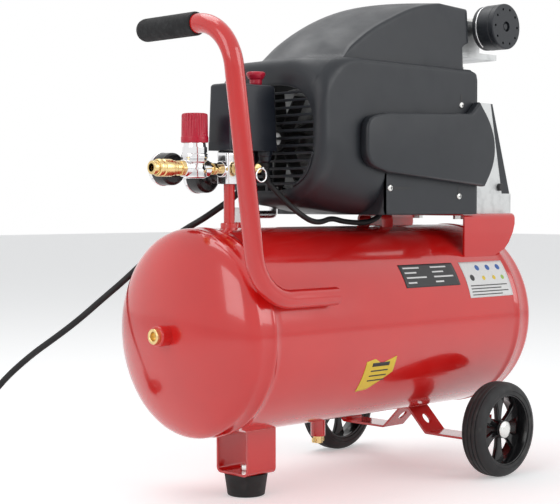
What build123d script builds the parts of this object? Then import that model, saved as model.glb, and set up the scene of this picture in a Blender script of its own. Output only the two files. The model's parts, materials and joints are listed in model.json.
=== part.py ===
"""Wheelbarrow air compressor: a 24 litre tank on two wheels and a rubber foot, with a
direct-drive pump under a plastic shroud, a pressure switch and a pull handle.

Millimetres, +Z up. The origin is on the floor, under the middle of the machine. X runs
from the handle end (-) to the wheel end (+), and Y runs across, with the handle at -Y."""

from build123d import *

import os
from math import cos, radians, sin, sqrt, tan

# ---------------------------------------------------------------- driving dimensions
# Tank
tank_d = 250.0
tank_wall = 2.5
shell_length = 459.4
head_flange = 18.5
head_depth = 40.0
ground_clearance = 80.0
weld_half = 3.5
weld_rise = 1.0

# Wheels and axle
wheel_d = 125.0
tyre_width = 34.0
tyre_section = 16.5
tyre_clear = 4.0
axle_inset = 72.7
axle_d = 12.0
hub_boss_d = 25.0
hub_clear = 0.05
strap_thick = 3.0
axle_strap_width = 40.0

# Foot
foot_inset = 69.2
foot_bracket_width = 47.0
foot_bracket_span = 54.0
rubber_foot_h = 27.0
rubber_foot_top_d = 54.0
rubber_foot_low_d = 46.0

# Handle
handle_d = 22.0
handle_wall = 2.0
handle_angle = 19.5
handle_lean = 8.1
handle_inset = 93.7
handle_overhang = 29.6
handle_height = 560.0
handle_low_bend = 58.0
handle_top_bend = 50.0
grip_d = 27.0
grip_past_middle = 22.0
grip_length = 97.0

# Riser post, manifold and pressure switch
post_inset = 41.7
post_d = 13.5
post_bore = 9.5
manifold_rise = 53.0
manifold_length = 30.0
manifold_width = 24.0
manifold_height = 30.0
port_d = 10.0
port_depth = 5.0
switch_rise = 93.0
switch_length = 77.0
switch_width = 44.0
switch_height = 80.0
switch_wall = 2.0
switch_knob_travel = 6.0

# Regulator, coupler and gauges
regulator_reach = 55.0
regulator_length = 38.0
regulator_width = 30.0
knob_d = 33.0
knob_height = 35.0
coupler_length = 47.0
coupler_d = 16.4
coupler_bore = 10.0
sleeve_d = 21.0
sleeve_length = 27.0
sleeve_travel = 3.0
gauge_d = 41.0
gauge_depth = 26.0
gauge_stem = 22.0

# Pump: motor, crankcase and shroud
pump_rise = 16.0
shaft_rise = 110.0
shaft_d = 16.0
stroke = 36.0
bore_d = 47.0
cylinder_x = 198.0
bracket_span = 188.0
front_bracket_span = 44.0
front_bracket_width = 22.0
rear_bracket_width = 111.0
stator_d = 128.0
rotor_d = 70.0
air_gap = 0.6
shroud_wall = 3.0
shroud_width = 194.0
filter_d = 62.0
filter_length = 39.0

# Power cord
cord_d = 8.0
lead_d = 7.0

fit = 0.05
seat = 0.2

# ---------------------------------------------------------------- worked out places
tank_r = tank_d / 2
axis_z = ground_clearance + tank_r
handle_z = axis_z + (tank_r + handle_d / 2 + seat) * sin(radians(handle_angle))
handle_y = -(tank_r + handle_d / 2 + seat) * cos(radians(handle_angle))
lean_run = (handle_height - handle_z) * tan(radians(handle_lean))
left_reach = shell_length / 2 + handle_overhang + lean_run + grip_d / 2
right_reach = shell_length / 2 + head_flange + head_depth
tank_x = (left_reach - right_reach) / 2
front_seam = tank_x - shell_length / 2
rear_seam = tank_x + shell_length / 2
tank_top = axis_z + tank_r
tank_low = axis_z - tank_r

axle_x = rear_seam - axle_inset
axle_z = wheel_d / 2
wheel_in = tank_r + tyre_clear
wheel_out = wheel_in + tyre_width
foot_x = front_seam + foot_inset
post_x = front_seam + post_inset
drain_x = tank_x - 33.5
check_x = post_x + 46
check_y = 30.0
check_z = axis_z + sqrt(tank_r**2 - check_y**2)
manifold_z = tank_top + manifold_rise
manifold_top = manifold_z + manifold_height
port_z = manifold_z + 18
low_port_z = manifold_z + 9
switch_z = tank_top + switch_rise
switch_x = post_x + 12.5
switch_y = -11.0
regulator_x = post_x - regulator_reach
pump_z = tank_top + pump_rise
shaft_z = tank_top + shaft_rise
crank_x = tank_x + cylinder_x


def level(z):
    """The horizontal plane at height z, drawn in x and y."""
    return Plane(origin=(0, 0, z))


def side(y):
    """The upright plane at y, drawn in x and z. Extruding goes towards -Y."""
    return Plane(origin=(0, y, 0), x_dir=(1, 0, 0), z_dir=(0, -1, 0))


def end(x):
    """The upright plane at x, drawn in y and z. Extruding goes towards +X."""
    return Plane(origin=(x, 0, 0), x_dir=(0, 1, 0), z_dir=(1, 0, 0))


def pillar(x, y, z, radius, height, bore=0.0, mode=Mode.ADD):
    """An upright round bar or ring from height z."""
    with BuildSketch(level(z)) as face:
        with Locations((x, y)):
            Circle(radius)
            if bore:
                Circle(bore, mode=Mode.SUBTRACT)
    extrude(face.sketch, amount=height, mode=mode)


def bar_x(x, y, z, radius, length, bore=0.0, mode=Mode.ADD):
    """A round bar or ring along X from x."""
    with BuildSketch(end(x)) as face:
        with Locations((y, z)):
            Circle(radius)
            if bore:
                Circle(bore, mode=Mode.SUBTRACT)
    extrude(face.sketch, amount=length, mode=mode)


def bar_y(x, y, z, radius, length, bore=0.0, mode=Mode.ADD):
    """A round bar or ring along Y, from y towards -Y."""
    with BuildSketch(side(y)) as face:
        with Locations((x, z)):
            Circle(radius)
            if bore:
                Circle(bore, mode=Mode.SUBTRACT)
    extrude(face.sketch, amount=length, mode=mode)


def block(x0, x1, y0, y1, z0, z1, mode=Mode.ADD):
    """A box between two corners."""
    with BuildSketch(level(z0)) as face:
        with Locations(((x0 + x1) / 2, (y0 + y1) / 2)):
            Rectangle(x1 - x0, y1 - y0)
    extrude(face.sketch, amount=z1 - z0, mode=mode)


def tank_body(mode=Mode.SUBTRACT):
    """The tank's outer cylinder, which what is welded to the shell is cut to."""
    bar_x(front_seam - head_flange, 0, axis_z, tank_r, shell_length + 2 * head_flange, mode=mode)


def bent_strap(x, points, radii, width, thick):
    """A flat strap bent across the machine: points in y and z, width along X."""
    with BuildLine(end(x)) as path:
        FilletPolyline(*points, radius=radii)
    with BuildSketch(Plane(origin=path.line @ 0, x_dir=(1, 0, 0), z_dir=path.line % 0)) as section:
        Rectangle(width, thick)
    sweep(section.sketch, path=path.line)


def round_path(points):
    """Radii for a cord's corners: each arc takes 0.45 of the shorter run beside it."""
    at = [Vector(*p) for p in points]
    radii = []
    for before, here, after in zip(at, at[1:], at[2:]):
        turn = (here - before).get_angle(after - here)
        shorter = min((here - before).length, (after - here).length)
        radii.append(0.45 * shorter / tan(radians(turn / 2)))
    return radii


pieces = {}

# ---------------------------------------------------------------- tank
with BuildPart() as tank_shell:
    bar_x(front_seam, 0, axis_z, tank_r, shell_length, tank_r - tank_wall)
    for seam in (front_seam, rear_seam):
        with BuildSketch(side(0)):
            with BuildLine():
                Polyline(
                    (seam - weld_half, axis_z + tank_r),
                    (seam - weld_half / 2, axis_z + tank_r + weld_rise),
                    (seam + weld_half / 2, axis_z + tank_r + weld_rise),
                    (seam + weld_half, axis_z + tank_r),
                    close=True,
                )
            make_face()
        revolve(axis=Axis((0, 0, axis_z), (1, 0, 0)))
    pillar(post_x, 0, axis_z, post_d / 2, tank_r + 5, mode=Mode.SUBTRACT)
    pillar(drain_x, 0, 0, 4.5, axis_z, mode=Mode.SUBTRACT)
    pillar(check_x, check_y, axis_z, 6, tank_r, mode=Mode.SUBTRACT)
pieces["tank_shell"] = tank_shell


def tank_head(seam, way, plug_radius):
    """A dished head: a straight flange, then a half ellipse, with a hole on its axis."""
    with BuildSketch(side(0)) as half_section:
        with BuildLine():
            for radius, depth in ((tank_r, head_depth), (tank_r - tank_wall, head_depth - tank_wall)):
                brow = (seam + way * head_flange, axis_z)
                Line((seam, axis_z + radius), (brow[0], axis_z + radius))
                EllipticalCenterArc(brow, depth, radius, start_angle=0 if way > 0 else 90, arc_size=90)
            tip = seam + way * (head_flange + head_depth)
            Line((tip, axis_z), (tip - way * tank_wall, axis_z))
            Line((seam, axis_z + tank_r), (seam, axis_z + tank_r - tank_wall))
        make_face()
    revolve(half_section.sketch, axis=Axis((0, 0, axis_z), (1, 0, 0)))
    if plug_radius:
        bar_x(tip - 20, 0, axis_z, plug_radius, 40, mode=Mode.SUBTRACT)


boss_d = 25.0
boss_out = 15.0
head_tip = front_seam - head_flange - head_depth

with BuildPart() as tank_head_front:
    tank_head(front_seam, -1, boss_d / 2)
pieces["tank_head_front"] = tank_head_front

with BuildPart() as tank_head_rear:
    tank_head(rear_seam, 1, 0)
pieces["tank_head_rear"] = tank_head_rear

# Welded sockets: inspection boss on the front head, post, drain and check valve.
drain_low = tank_low - 22
with BuildPart() as tank_sockets:
    pillar(post_x, 0, tank_top - 4, post_d / 2 + 4, 10, post_d / 2)
    pillar(drain_x, 0, drain_low, 9.5, 26, 4)
    pillar(check_x, check_y, check_z - 8, 12, 16, 8)
    tank_body()
    bar_x(head_tip - boss_out, 0, axis_z, boss_d / 2, boss_out + 6, 8)
pieces["tank_sockets"] = tank_sockets

with BuildPart() as tank_plug:
    bar_x(head_tip - boss_out - 5, 0, axis_z, 9.5, 5)
    bar_x(head_tip - boss_out, 0, axis_z, 8, 14)
    with BuildSketch(end(head_tip - boss_out - 5)):
        with Locations((0, axis_z)):
            RegularPolygon(5, 6)
    extrude(amount=8, mode=Mode.SUBTRACT)
pieces["tank_plug"] = tank_plug

# ---------------------------------------------------------------- foot
with BuildPart() as foot_bracket:
    half = foot_bracket_span / 2
    low = rubber_foot_h + strap_thick / 2
    bent_strap(
        foot_x,
        [(-half, axis_z - 60), (-half, low), (half, low), (half, axis_z - 60)],
        6,
        foot_bracket_width,
        strap_thick,
    )
    tank_body()
    pillar(foot_x, 0, 0, 4.1, tank_low - 8, mode=Mode.SUBTRACT)
pieces["foot_bracket"] = foot_bracket

with BuildPart() as rubber_foot:
    with BuildSketch(level(0)):
        with Locations((foot_x, 0)):
            Circle(rubber_foot_low_d / 2)
    with BuildSketch(level(rubber_foot_h)):
        with Locations((foot_x, 0)):
            Circle(rubber_foot_top_d / 2)
    loft()
    fillet(rubber_foot.faces().sort_by(Axis.Z)[0].edges(), 2)
    pillar(foot_x, 0, 0, 9, 12, mode=Mode.SUBTRACT)
    pillar(foot_x, 0, 0, 4.1, rubber_foot_h, mode=Mode.SUBTRACT)
pieces["rubber_foot"] = rubber_foot

# ---------------------------------------------------------------- axle and wheels
ear_y = wheel_in - 9
ear_top = axle_z + 14
strap_z = 45 + strap_thick / 2

with BuildPart() as axle_bracket:
    ear = ear_y - strap_thick / 2
    bent_strap(
        axle_x,
        [
            (-ear, ear_top),
            (-ear, strap_z),
            (-38, strap_z),
            (-7, tank_low - strap_thick / 2 - 1),
            (7, tank_low - strap_thick / 2 - 1),
            (38, strap_z),
            (ear, strap_z),
            (ear, ear_top),
        ],
        5,
        axle_strap_width,
        strap_thick,
    )
    block(axle_x - 16, axle_x + 16, -8, 8, tank_low - 2, tank_low + 3)
    tank_body()
    bar_y(axle_x, 200, axle_z, axle_d / 2, 400, mode=Mode.SUBTRACT)
pieces["axle_bracket"] = axle_bracket

axle_end = wheel_out - 7
cap_h = 4.5
cap_r = 11.5
with BuildPart() as chassis_fasteners:
    pillar(foot_x, 0, 5, 8, 7)
    pillar(foot_x, 0, 12, 4, 30)
    with BuildSketch(level(rubber_foot_h + strap_thick)):
        with Locations((foot_x, 0)):
            RegularPolygon(7.5, 6)
    extrude(amount=7)
    for way in (-1, 1):
        bar_y(axle_x, max(way * ear_y, way * axle_end), axle_z, axle_d / 2, axle_end - ear_y)
        inner = way * (ear_y - strap_thick)
        bar_y(axle_x, max(inner, way * ear_y), axle_z, axle_d / 2, strap_thick)
        with BuildSketch(side(max(inner, inner - way * 8))):
            with Locations((axle_x, axle_z)):
                RegularPolygon(10.5, 6)
        extrude(amount=8)
        bar_y(axle_x, max(way * axle_end, way * (axle_end + cap_h)), axle_z, cap_r, cap_h)
        fillet(chassis_fasteners.faces().sort_by(Axis.Y)[0 if way < 0 else -1].edges(), 3.5)
pieces["chassis_fasteners"] = chassis_fasteners


def lathe_y(points, way):
    """Turns an outline about the axle: points are (distance out from the middle, radius)."""
    with BuildSketch(Plane(origin=(axle_x, 0, axle_z), x_dir=(0, way, 0), z_dir=(way, 0, 0))) as half:
        with BuildLine():
            Polyline(*points, close=True)
        make_face()
    revolve(half.sketch, axis=Axis((axle_x, 0, axle_z), (0, 1, 0)))


tyre_r = wheel_d / 2
rim_r = tyre_r - tyre_section
hub_in = ear_y + 0.4
hub_out = axle_end - 0.4
hub_bore = axle_d / 2 + hub_clear
spokes_in = wheel_in + tyre_width * 0.42
spokes_out = spokes_in + 7
tyre_corner = 5.0
tread_pitch = 5.5

for name, way in (("near", -1), ("far", 1)):
    with BuildPart() as tyre:
        soft = tyre_corner * 0.3
        lathe_y(
            [
                (wheel_in, rim_r),
                (wheel_in, tyre_r - tyre_corner),
                (wheel_in + soft, tyre_r - soft),
                (wheel_in + tyre_corner, tyre_r),
                (wheel_out - tyre_corner, tyre_r),
                (wheel_out - soft, tyre_r - soft),
                (wheel_out, tyre_r - tyre_corner),
                (wheel_out, rim_r),
            ],
            way,
        )
        for groove in range(4):
            groove_y = wheel_in + tyre_width / 2 + (groove - 1.5) * tread_pitch
            with BuildSketch(side(way * groove_y + 1)):
                with Locations((axle_x, axle_z)):
                    Circle(tyre_r + 1)
                    Circle(tyre_r - 2, mode=Mode.SUBTRACT)
            extrude(amount=2, mode=Mode.SUBTRACT)
    pieces[f"tyre_{name}"] = tyre

    with BuildPart() as hub:
        rim_in, rim_out = wheel_in + 2, wheel_out - 2
        lathe_y([(rim_in, rim_r - 4), (rim_in, rim_r), (rim_out, rim_r), (rim_out, rim_r - 4)], way)
        boss_r = hub_boss_d / 2
        lathe_y([(hub_in, hub_bore), (hub_in, boss_r), (hub_out, boss_r), (hub_out, hub_bore)], way)
        with BuildSketch(side(max(way * spokes_in, way * spokes_out))):
            with Locations((axle_x, axle_z)):
                with PolarLocations(0, 6, start_angle=90):
                    Polygon((10, -3.5), (rim_r - 2, -9), (rim_r - 2, 9), (10, 3.5), align=None)
        extrude(amount=spokes_out - spokes_in)
    pieces[f"wheel_hub_{name}"] = hub

# ---------------------------------------------------------------- drain
with BuildPart() as drain_screw:
    pillar(drain_x, 0, drain_low - 9, 6, 8.7)
    pillar(drain_x, 0, drain_low - 0.3, 4 - fit, 14)
    block(drain_x - 10, drain_x + 10, -1.5, 1.5, drain_low - 8, drain_low - 2)
pieces["drain_screw"] = drain_screw

# ---------------------------------------------------------------- handle
corner_x = front_seam - handle_overhang
top_x = corner_x - lean_run
handle_route = [
    (front_seam + handle_inset, handle_y, handle_z),
    (corner_x, handle_y, handle_z),
    (top_x, handle_y, handle_height),
    (top_x, grip_past_middle - 5, handle_height),
]
with BuildPart() as handle_tube:
    with BuildLine() as handle_line:
        FilletPolyline(*handle_route, radius=[handle_low_bend, handle_top_bend])
    with BuildSketch(Plane(origin=handle_line.line @ 0, z_dir=handle_line.line % 0)):
        Circle(handle_d / 2)
        Circle(handle_d / 2 - handle_wall, mode=Mode.SUBTRACT)
    sweep()
pieces["handle_tube"] = handle_tube

with BuildPart() as handle_grip:
    bar_y(top_x, grip_past_middle, handle_height, grip_d / 2, grip_length)
    bar_y(top_x, grip_past_middle - 5, handle_height, handle_d / 2, grip_length, mode=Mode.SUBTRACT)
    fillet(handle_grip.faces().sort_by(Axis.Y)[-1].edges(), 6)
pieces["handle_grip"] = handle_grip

# ---------------------------------------------------------------- pump brackets
front_bracket_x = tank_x + 76
rear_bracket_x = tank_x + 150 + rear_bracket_width / 2
bolt_r = 4.0
rear_bolt_y = 66.0


def saddle(x, width, span):
    """An inverted U across the tank, its legs cut to the tank's side."""
    leg = (span - strap_thick) / 2
    bent_strap(
        x,
        [
            (-leg, axis_z + 40),
            (-leg, pump_z - strap_thick / 2),
            (leg, pump_z - strap_thick / 2),
            (leg, axis_z + 40),
        ],
        6,
        width,
        strap_thick,
    )
    tank_body()


with BuildPart() as pump_bracket_front:
    saddle(front_bracket_x, front_bracket_width, front_bracket_span)
    pillar(front_bracket_x, 0, pump_z - 10, bolt_r, 20, mode=Mode.SUBTRACT)
pieces["pump_bracket_front"] = pump_bracket_front

rear_left = rear_bracket_x - rear_bracket_width / 2
rear_bolts = [(rear_left + dx, way * rear_bolt_y) for dx in (22, 92) for way in (-1, 1)]
with BuildPart() as pump_bracket_rear:
    saddle(rear_bracket_x, rear_bracket_width, bracket_span)
    with BuildSketch(side(200)):
        with BuildLine():
            Polyline(
                (rear_left + 112, pump_z - 12),
                (rear_left + 107, pump_z - 26),
                (rear_left + 98, pump_z - 40),
                (rear_left + 88, pump_z - 49),
                (rear_left + 65, pump_z - 58),
                (rear_left + 65, axis_z + 20),
                (rear_left + 130, axis_z + 20),
                (rear_left + 130, pump_z - 12),
                close=True,
            )
        make_face()
    extrude(amount=400, mode=Mode.SUBTRACT)
    for x, y in rear_bolts:
        pillar(x, y, pump_z - 10, bolt_r, 20, mode=Mode.SUBTRACT)
pieces["pump_bracket_rear"] = pump_bracket_rear

# ---------------------------------------------------------------- post and manifold
with BuildPart() as riser_post:
    post_low = tank_top - 12
    pillar(post_x, 0, post_low, post_d / 2, manifold_z + 12 - post_low, post_bore / 2)
pieces["riser_post"] = riser_post

manifold_in = post_x - manifold_length / 2
half_wide = manifold_width / 2
with BuildPart() as manifold:
    block(manifold_in, manifold_in + manifold_length, -half_wide, half_wide, manifold_z, manifold_top)
    fillet(manifold.edges().filter_by(Axis.Z), 5)
    pillar(post_x, 0, manifold_top, 9, switch_z - manifold_top)
    pillar(post_x, 0, manifold_z, post_d / 2, 12, mode=Mode.SUBTRACT)
    pillar(post_x, 0, manifold_z, 4, manifold_height + 20, mode=Mode.SUBTRACT)
    bar_x(manifold_in, 0, port_z, port_d / 2, port_depth, mode=Mode.SUBTRACT)
    bar_y(post_x, half_wide, low_port_z, port_d / 2, port_depth, mode=Mode.SUBTRACT)
    bar_y(post_x, -half_wide + port_depth, port_z, port_d / 2, port_depth, mode=Mode.SUBTRACT)
pieces["manifold"] = manifold

# ---------------------------------------------------------------- regulator
regulator_in = regulator_x - regulator_length / 2
regulator_out = regulator_x + regulator_length / 2
deep = regulator_width / 2
regulator_low = port_z - 12
regulator_top = port_z + 25
with BuildPart() as regulator_body:
    block(regulator_in, regulator_out, -deep, deep, regulator_low, port_z + 8)
    fillet(regulator_body.edges().filter_by(Axis.Z), 6)
    pillar(regulator_x, 0, port_z + 8, 17.5, 17)
    bar_x(regulator_out - port_depth, 0, port_z, port_d / 2, port_depth, mode=Mode.SUBTRACT)
    bar_x(regulator_in, 0, port_z, port_d / 2, port_depth, mode=Mode.SUBTRACT)
    bar_y(regulator_x, deep, port_z, port_d / 2, port_depth, mode=Mode.SUBTRACT)
    pillar(regulator_x, 0, port_z + 12, 12, 20, mode=Mode.SUBTRACT)
pieces["regulator_body"] = regulator_body

with BuildPart() as regulator_nipple:
    reach = manifold_in - regulator_out
    bar_x(regulator_out - port_depth, 0, port_z, port_d / 2, reach + 2 * port_depth, 3)
    with BuildSketch(end(regulator_out)):
        with Locations((0, port_z)):
            RegularPolygon(8, 6)
            Circle(port_d / 2, mode=Mode.SUBTRACT)
    extrude(amount=reach * 0.6)
pieces["regulator_nipple"] = regulator_nipple

stem_r = 9.0
stem_top = regulator_top + 30
with BuildPart() as regulator_bonnet:
    pillar(regulator_x, 0, port_z + 12, 12, regulator_top - port_z - 12, 8)
    pillar(regulator_x, 0, regulator_top, 14.5, 5, 8)
    pillar(regulator_x, 0, regulator_top + 5, stem_r, stem_top - regulator_top - 5, 6)
pieces["regulator_bonnet"] = regulator_bonnet

knob_z = regulator_top + 5.3
with BuildPart() as regulator_knob:
    pillar(regulator_x, 0, knob_z, knob_d / 2, knob_height)
    fillet(regulator_knob.faces().sort_by(Axis.Z)[-1].edges(), 2.5)
    with BuildSketch(level(knob_z + 7)):
        with Locations((regulator_x, 0)):
            with PolarLocations(knob_d / 2 + 0.4, 24):
                Circle(1.3)
    extrude(amount=knob_height, mode=Mode.SUBTRACT)
    pillar(regulator_x, 0, knob_z, stem_r + fit, stem_top - knob_z + 0.3, mode=Mode.SUBTRACT)
pieces["regulator_knob"] = regulator_knob

# ---------------------------------------------------------------- outlet coupler
nut_end = regulator_in - 9
coupler_tip = regulator_in - coupler_length
sleeve_out = nut_end - sleeve_travel - 0.5
with BuildPart() as coupler_body:
    with BuildSketch(end(nut_end)):
        with Locations((0, port_z)):
            RegularPolygon(10.5, 6)
    extrude(amount=9)
    bar_x(regulator_in, 0, port_z, port_d / 2, port_depth)
    bar_x(coupler_tip, 0, port_z, coupler_d / 2, nut_end - coupler_tip)
    bar_x(coupler_tip, 0, port_z, coupler_d / 2 + 1.4, 6)
    bar_x(coupler_tip, 0, port_z, coupler_bore / 2, 34, mode=Mode.SUBTRACT)
    bar_x(coupler_tip, 0, port_z, 3, 60, mode=Mode.SUBTRACT)
pieces["coupler_body"] = coupler_body

with BuildPart() as coupler_sleeve:
    bar_x(sleeve_out - sleeve_length, 0, port_z, sleeve_d / 2, sleeve_length)
    fillet(coupler_sleeve.edges().filter_by(GeomType.CIRCLE), 1.2)
    bar_x(sleeve_out - sleeve_length, 0, port_z, coupler_d / 2 + fit, sleeve_length, mode=Mode.SUBTRACT)
pieces["coupler_sleeve"] = coupler_sleeve

# ---------------------------------------------------------------- gauges
gauge_r = gauge_d / 2
gauge_places = (
    ("outlet", regulator_x, deep, port_z),
    ("tank", post_x, half_wide, low_port_z),
)
gauge_back = deep + gauge_stem
gauge_face = gauge_back + gauge_depth
dial_y = gauge_face - 8
well_r = gauge_r - 2

with BuildPart() as gauge_cases:
    for _, x, face, z in gauge_places:
        bar_y(x, gauge_face, z, gauge_r, gauge_depth)
        bar_y(x, gauge_face, z, well_r, gauge_face - dial_y + 1, mode=Mode.SUBTRACT)
        bar_y(x, gauge_face, z, well_r - 1.5, gauge_depth - 3, mode=Mode.SUBTRACT)
        bar_y(x, gauge_back, z, port_d / 2, gauge_back - face + port_depth)
        with BuildSketch(side(gauge_back)):
            with Locations((x, z)):
                RegularPolygon(7.5, 6)
        extrude(amount=gauge_back - face - 6)
pieces["gauge_cases"] = gauge_cases

with BuildPart() as gauge_dials:
    for _, x, _, z in gauge_places:
        bar_y(x, dial_y, z, well_r, 1)
        bar_y(x, dial_y + 3, z, 0.9, 3)
pieces["gauge_dials"] = gauge_dials

with BuildPart() as gauge_lenses:
    for _, x, _, z in gauge_places:
        bar_y(x, gauge_face - 1, z, well_r, 2)
pieces["gauge_lenses"] = gauge_lenses

for name, x, _, z in gauge_places:
    with BuildPart() as pointer:
        bar_y(x, dial_y + 2.5, z, 2.6, 2)
        block(x - 13, x + 4, dial_y + 1, dial_y + 2, z - 0.8, z + 0.8)
        bar_y(x, dial_y + 5, z, 0.9 + fit, 10, mode=Mode.SUBTRACT)
    pieces[f"gauge_pointer_{name}"] = pointer

# ---------------------------------------------------------------- pressure switch
switch_in = switch_x - switch_length / 2
switch_out = switch_x + switch_length / 2
switch_near = switch_y - switch_width / 2
switch_far = switch_y + switch_width / 2
tray = 10.0
switch_knob_x = switch_out - 17
gland_x = switch_out - 12
gland_drop = 14.0
gland_thread = 7.0
gland_places = ((gland_x, switch_y + 11, cord_d), (gland_x, switch_y - 11, lead_d))
knob_stem = 4.0
with BuildPart() as switch_base:
    block(switch_in, switch_out, switch_near, switch_far, switch_z, switch_z + tray)
    fillet(switch_base.edges().filter_by(Axis.Z), 4)
    for x, y, _ in gland_places:
        pillar(x, y, switch_z - 1, gland_thread, tray + 2, mode=Mode.SUBTRACT)
    block(switch_in + 12, switch_out - 32, switch_y - 12, switch_y + 12, switch_z + tray, switch_z + 52)
    block(switch_out - 32, switch_out - 7, switch_y - 10, switch_y + 10, switch_z + 40, switch_z + 52)
    pillar(switch_knob_x, switch_y, switch_z + 30, knob_stem + fit, 40, mode=Mode.SUBTRACT)
pieces["switch_base"] = switch_base

cover_h = switch_height - tray
with BuildPart() as switch_cover:
    for inset, mode in ((0, Mode.ADD), (switch_wall, Mode.SUBTRACT)):
        with BuildSketch(level(switch_z + tray)):
            with Locations((switch_x, switch_y)):
                RectangleRounded(switch_length - 2 * inset, switch_width - 2 * inset, 4 - inset / 2)
        extrude(amount=cover_h - inset, taper=1.5, mode=mode)
    pillar(switch_knob_x, switch_y, switch_z + tray, knob_stem + 0.3, cover_h + 5, mode=Mode.SUBTRACT)
pieces["switch_cover"] = switch_cover

cover_top = switch_z + switch_height
with BuildPart() as switch_knob:
    with BuildSketch(level(cover_top + 8)):
        with Locations((switch_knob_x, switch_y)):
            Circle(10.5)
    with BuildSketch(level(cover_top + 17)):
        with Locations((switch_knob_x, switch_y)):
            Circle(12)
    loft()
    fillet(switch_knob.faces().sort_by(Axis.Z)[-1].edges(), 1.5)
    stem_low = switch_z + 42 + switch_knob_travel
    pillar(switch_knob_x, switch_y, stem_low, knob_stem, cover_top + 8 - stem_low)
pieces["switch_knob"] = switch_knob

with BuildPart() as cable_glands:
    for x, y, size in gland_places:
        pillar(x, y, switch_z - gland_drop, 8.5, gland_drop)
        pillar(x, y, switch_z, gland_thread, tray)
        pillar(x, y, switch_z - 40, size / 2, 60, mode=Mode.SUBTRACT)
pieces["cable_glands"] = cable_glands

# ---------------------------------------------------------------- safety valve
valve_near = -half_wide
pin_r = 1.5
with BuildPart() as safety_valve_body:
    bar_y(post_x, valve_near + port_depth, port_z, port_d / 2, port_depth + 1)
    with BuildSketch(side(valve_near)):
        with Locations((post_x, port_z)):
            RegularPolygon(9, 6)
    extrude(amount=9)
    bar_y(post_x, valve_near - 9, port_z, 7.5, 24)
    bar_y(post_x, valve_near - 33, port_z, 6, 8)
    bar_y(post_x, valve_near - 25, port_z, pin_r + fit, 30, mode=Mode.SUBTRACT)
pieces["safety_valve_body"] = safety_valve_body

ring_r = 8.0
ring_wire = 0.9
ring_y = valve_near - 41 - 4
pin_long = 22.0
with BuildPart() as safety_ring:
    bar_y(post_x, valve_near - 26, port_z, pin_r, pin_long)
    with Locations(Plane(origin=(post_x, ring_y, port_z - ring_r), x_dir=(1, 0, 0), z_dir=(0, 1, 0))):
        Torus(ring_r, ring_wire)
pieces["safety_ring"] = safety_ring

# ---------------------------------------------------------------- check valve and pipe
valve_low = check_z + 8
valve_mid = valve_low + 11
pipe_d = 10.0
with BuildPart() as check_valve:
    pillar(check_x, check_y, valve_low - 5, 8, 5)
    with BuildSketch(level(valve_low)):
        with Locations((check_x, check_y)):
            RegularPolygon(12, 6)
    extrude(amount=20)
    bar_x(check_x, check_y, valve_mid, 8, 20)
    pillar(check_x, check_y, valve_low - 10, 3, 25, mode=Mode.SUBTRACT)
    bar_x(check_x + 12, check_y, valve_mid, pipe_d / 2, 20, mode=Mode.SUBTRACT)
pieces["check_valve"] = check_valve

# ---------------------------------------------------------------- crankcase and cylinder
case_in = crank_x - 38
case_out = crank_x + 80
case_back = case_out - 22
case_slope = 26.0
cover_slope = 40.0
case_wall = 8.0
case_low = pump_z + 27
case_top = shaft_z + 57
case_half = 75.0
wall_in = 12.0
shroud_half = shroud_width / 2
inner_half = shroud_half - shroud_wall
bearing_r = 17.5
bearing_w = 11.0
shaft_r = shaft_d / 2
lug_low_x = tank_x + 133.5
lug_low_z = pump_z + 23
lug_top_x = tank_x + 138
lug_top_z = pump_z + 143
foot_lug_x = tank_x - 4
foot_lug_z = pump_z + 33
screw_places = [
    (x, z, way)
    for x, z in ((foot_lug_x, foot_lug_z), (lug_low_x, lug_low_z), (lug_top_x, lug_top_z))
    for way in (-1, 1)
]
screw_r = 2.0

with BuildPart() as crankcase:
    block(case_in, case_out, -78, 78, pump_z, case_low)
    fillet(crankcase.edges().filter_by(Axis.Z), 8)
    with BuildSketch(side(case_half)):
        with BuildLine():
            Polyline(
                (case_in, case_low), (case_back, case_low),
                (case_back - case_slope, case_top), (case_in, case_top),
                close=True,
            )
        make_face()
    extrude(amount=2 * case_half)
    cavity = case_half - case_wall
    block(
        case_in + wall_in, case_out, -cavity, cavity, case_low + 14, case_top - case_wall,
        mode=Mode.SUBTRACT,
    )
    bar_x(case_in - 1, 0, shaft_z, bearing_r, wall_in + 2, mode=Mode.SUBTRACT)
    pillar(crank_x, 0, shaft_z, bore_d / 2 + 1, 70, mode=Mode.SUBTRACT)
    for way in (-1, 1):
        y0, y1 = sorted((way * inner_half, way * 50))
        block(lug_low_x - 7, case_in + 8, y0, y1, lug_low_z - 7, lug_low_z + 7)
        block(lug_top_x - 7, case_in + 8, y0, y1, lug_top_z - 7, lug_top_z + 7)
    for x, z, way in screw_places:
        bar_y(x, way * inner_half + 12, z, screw_r, 24, mode=Mode.SUBTRACT)
    for x, y in rear_bolts:
        pillar(x, y, pump_z - 1, bolt_r, 40, mode=Mode.SUBTRACT)
pieces["crankcase"] = crankcase

with BuildPart() as crankcase_cover:
    with BuildSketch(side(case_half - 3)):
        with BuildLine():
            Polyline(
                (case_back, case_low), (case_out, case_low),
                (case_out - cover_slope, case_top), (case_back - case_slope, case_top),
                close=True,
            )
        make_face()
    extrude(amount=2 * case_half - 6)
pieces["crankcase_cover"] = crankcase_cover

plate_z = case_top + 64
head_z = plate_z + 8
head_top = head_z + 43
with BuildPart() as cylinder:
    pillar(crank_x, 0, case_top, 31, plate_z - case_top)
    for fin in range(7):
        pillar(crank_x, 0, case_top + 10 + fin * 8, 42, 3)
    pillar(crank_x, 0, case_top, bore_d / 2, plate_z - case_top, mode=Mode.SUBTRACT)
pieces["cylinder"] = cylinder

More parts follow.
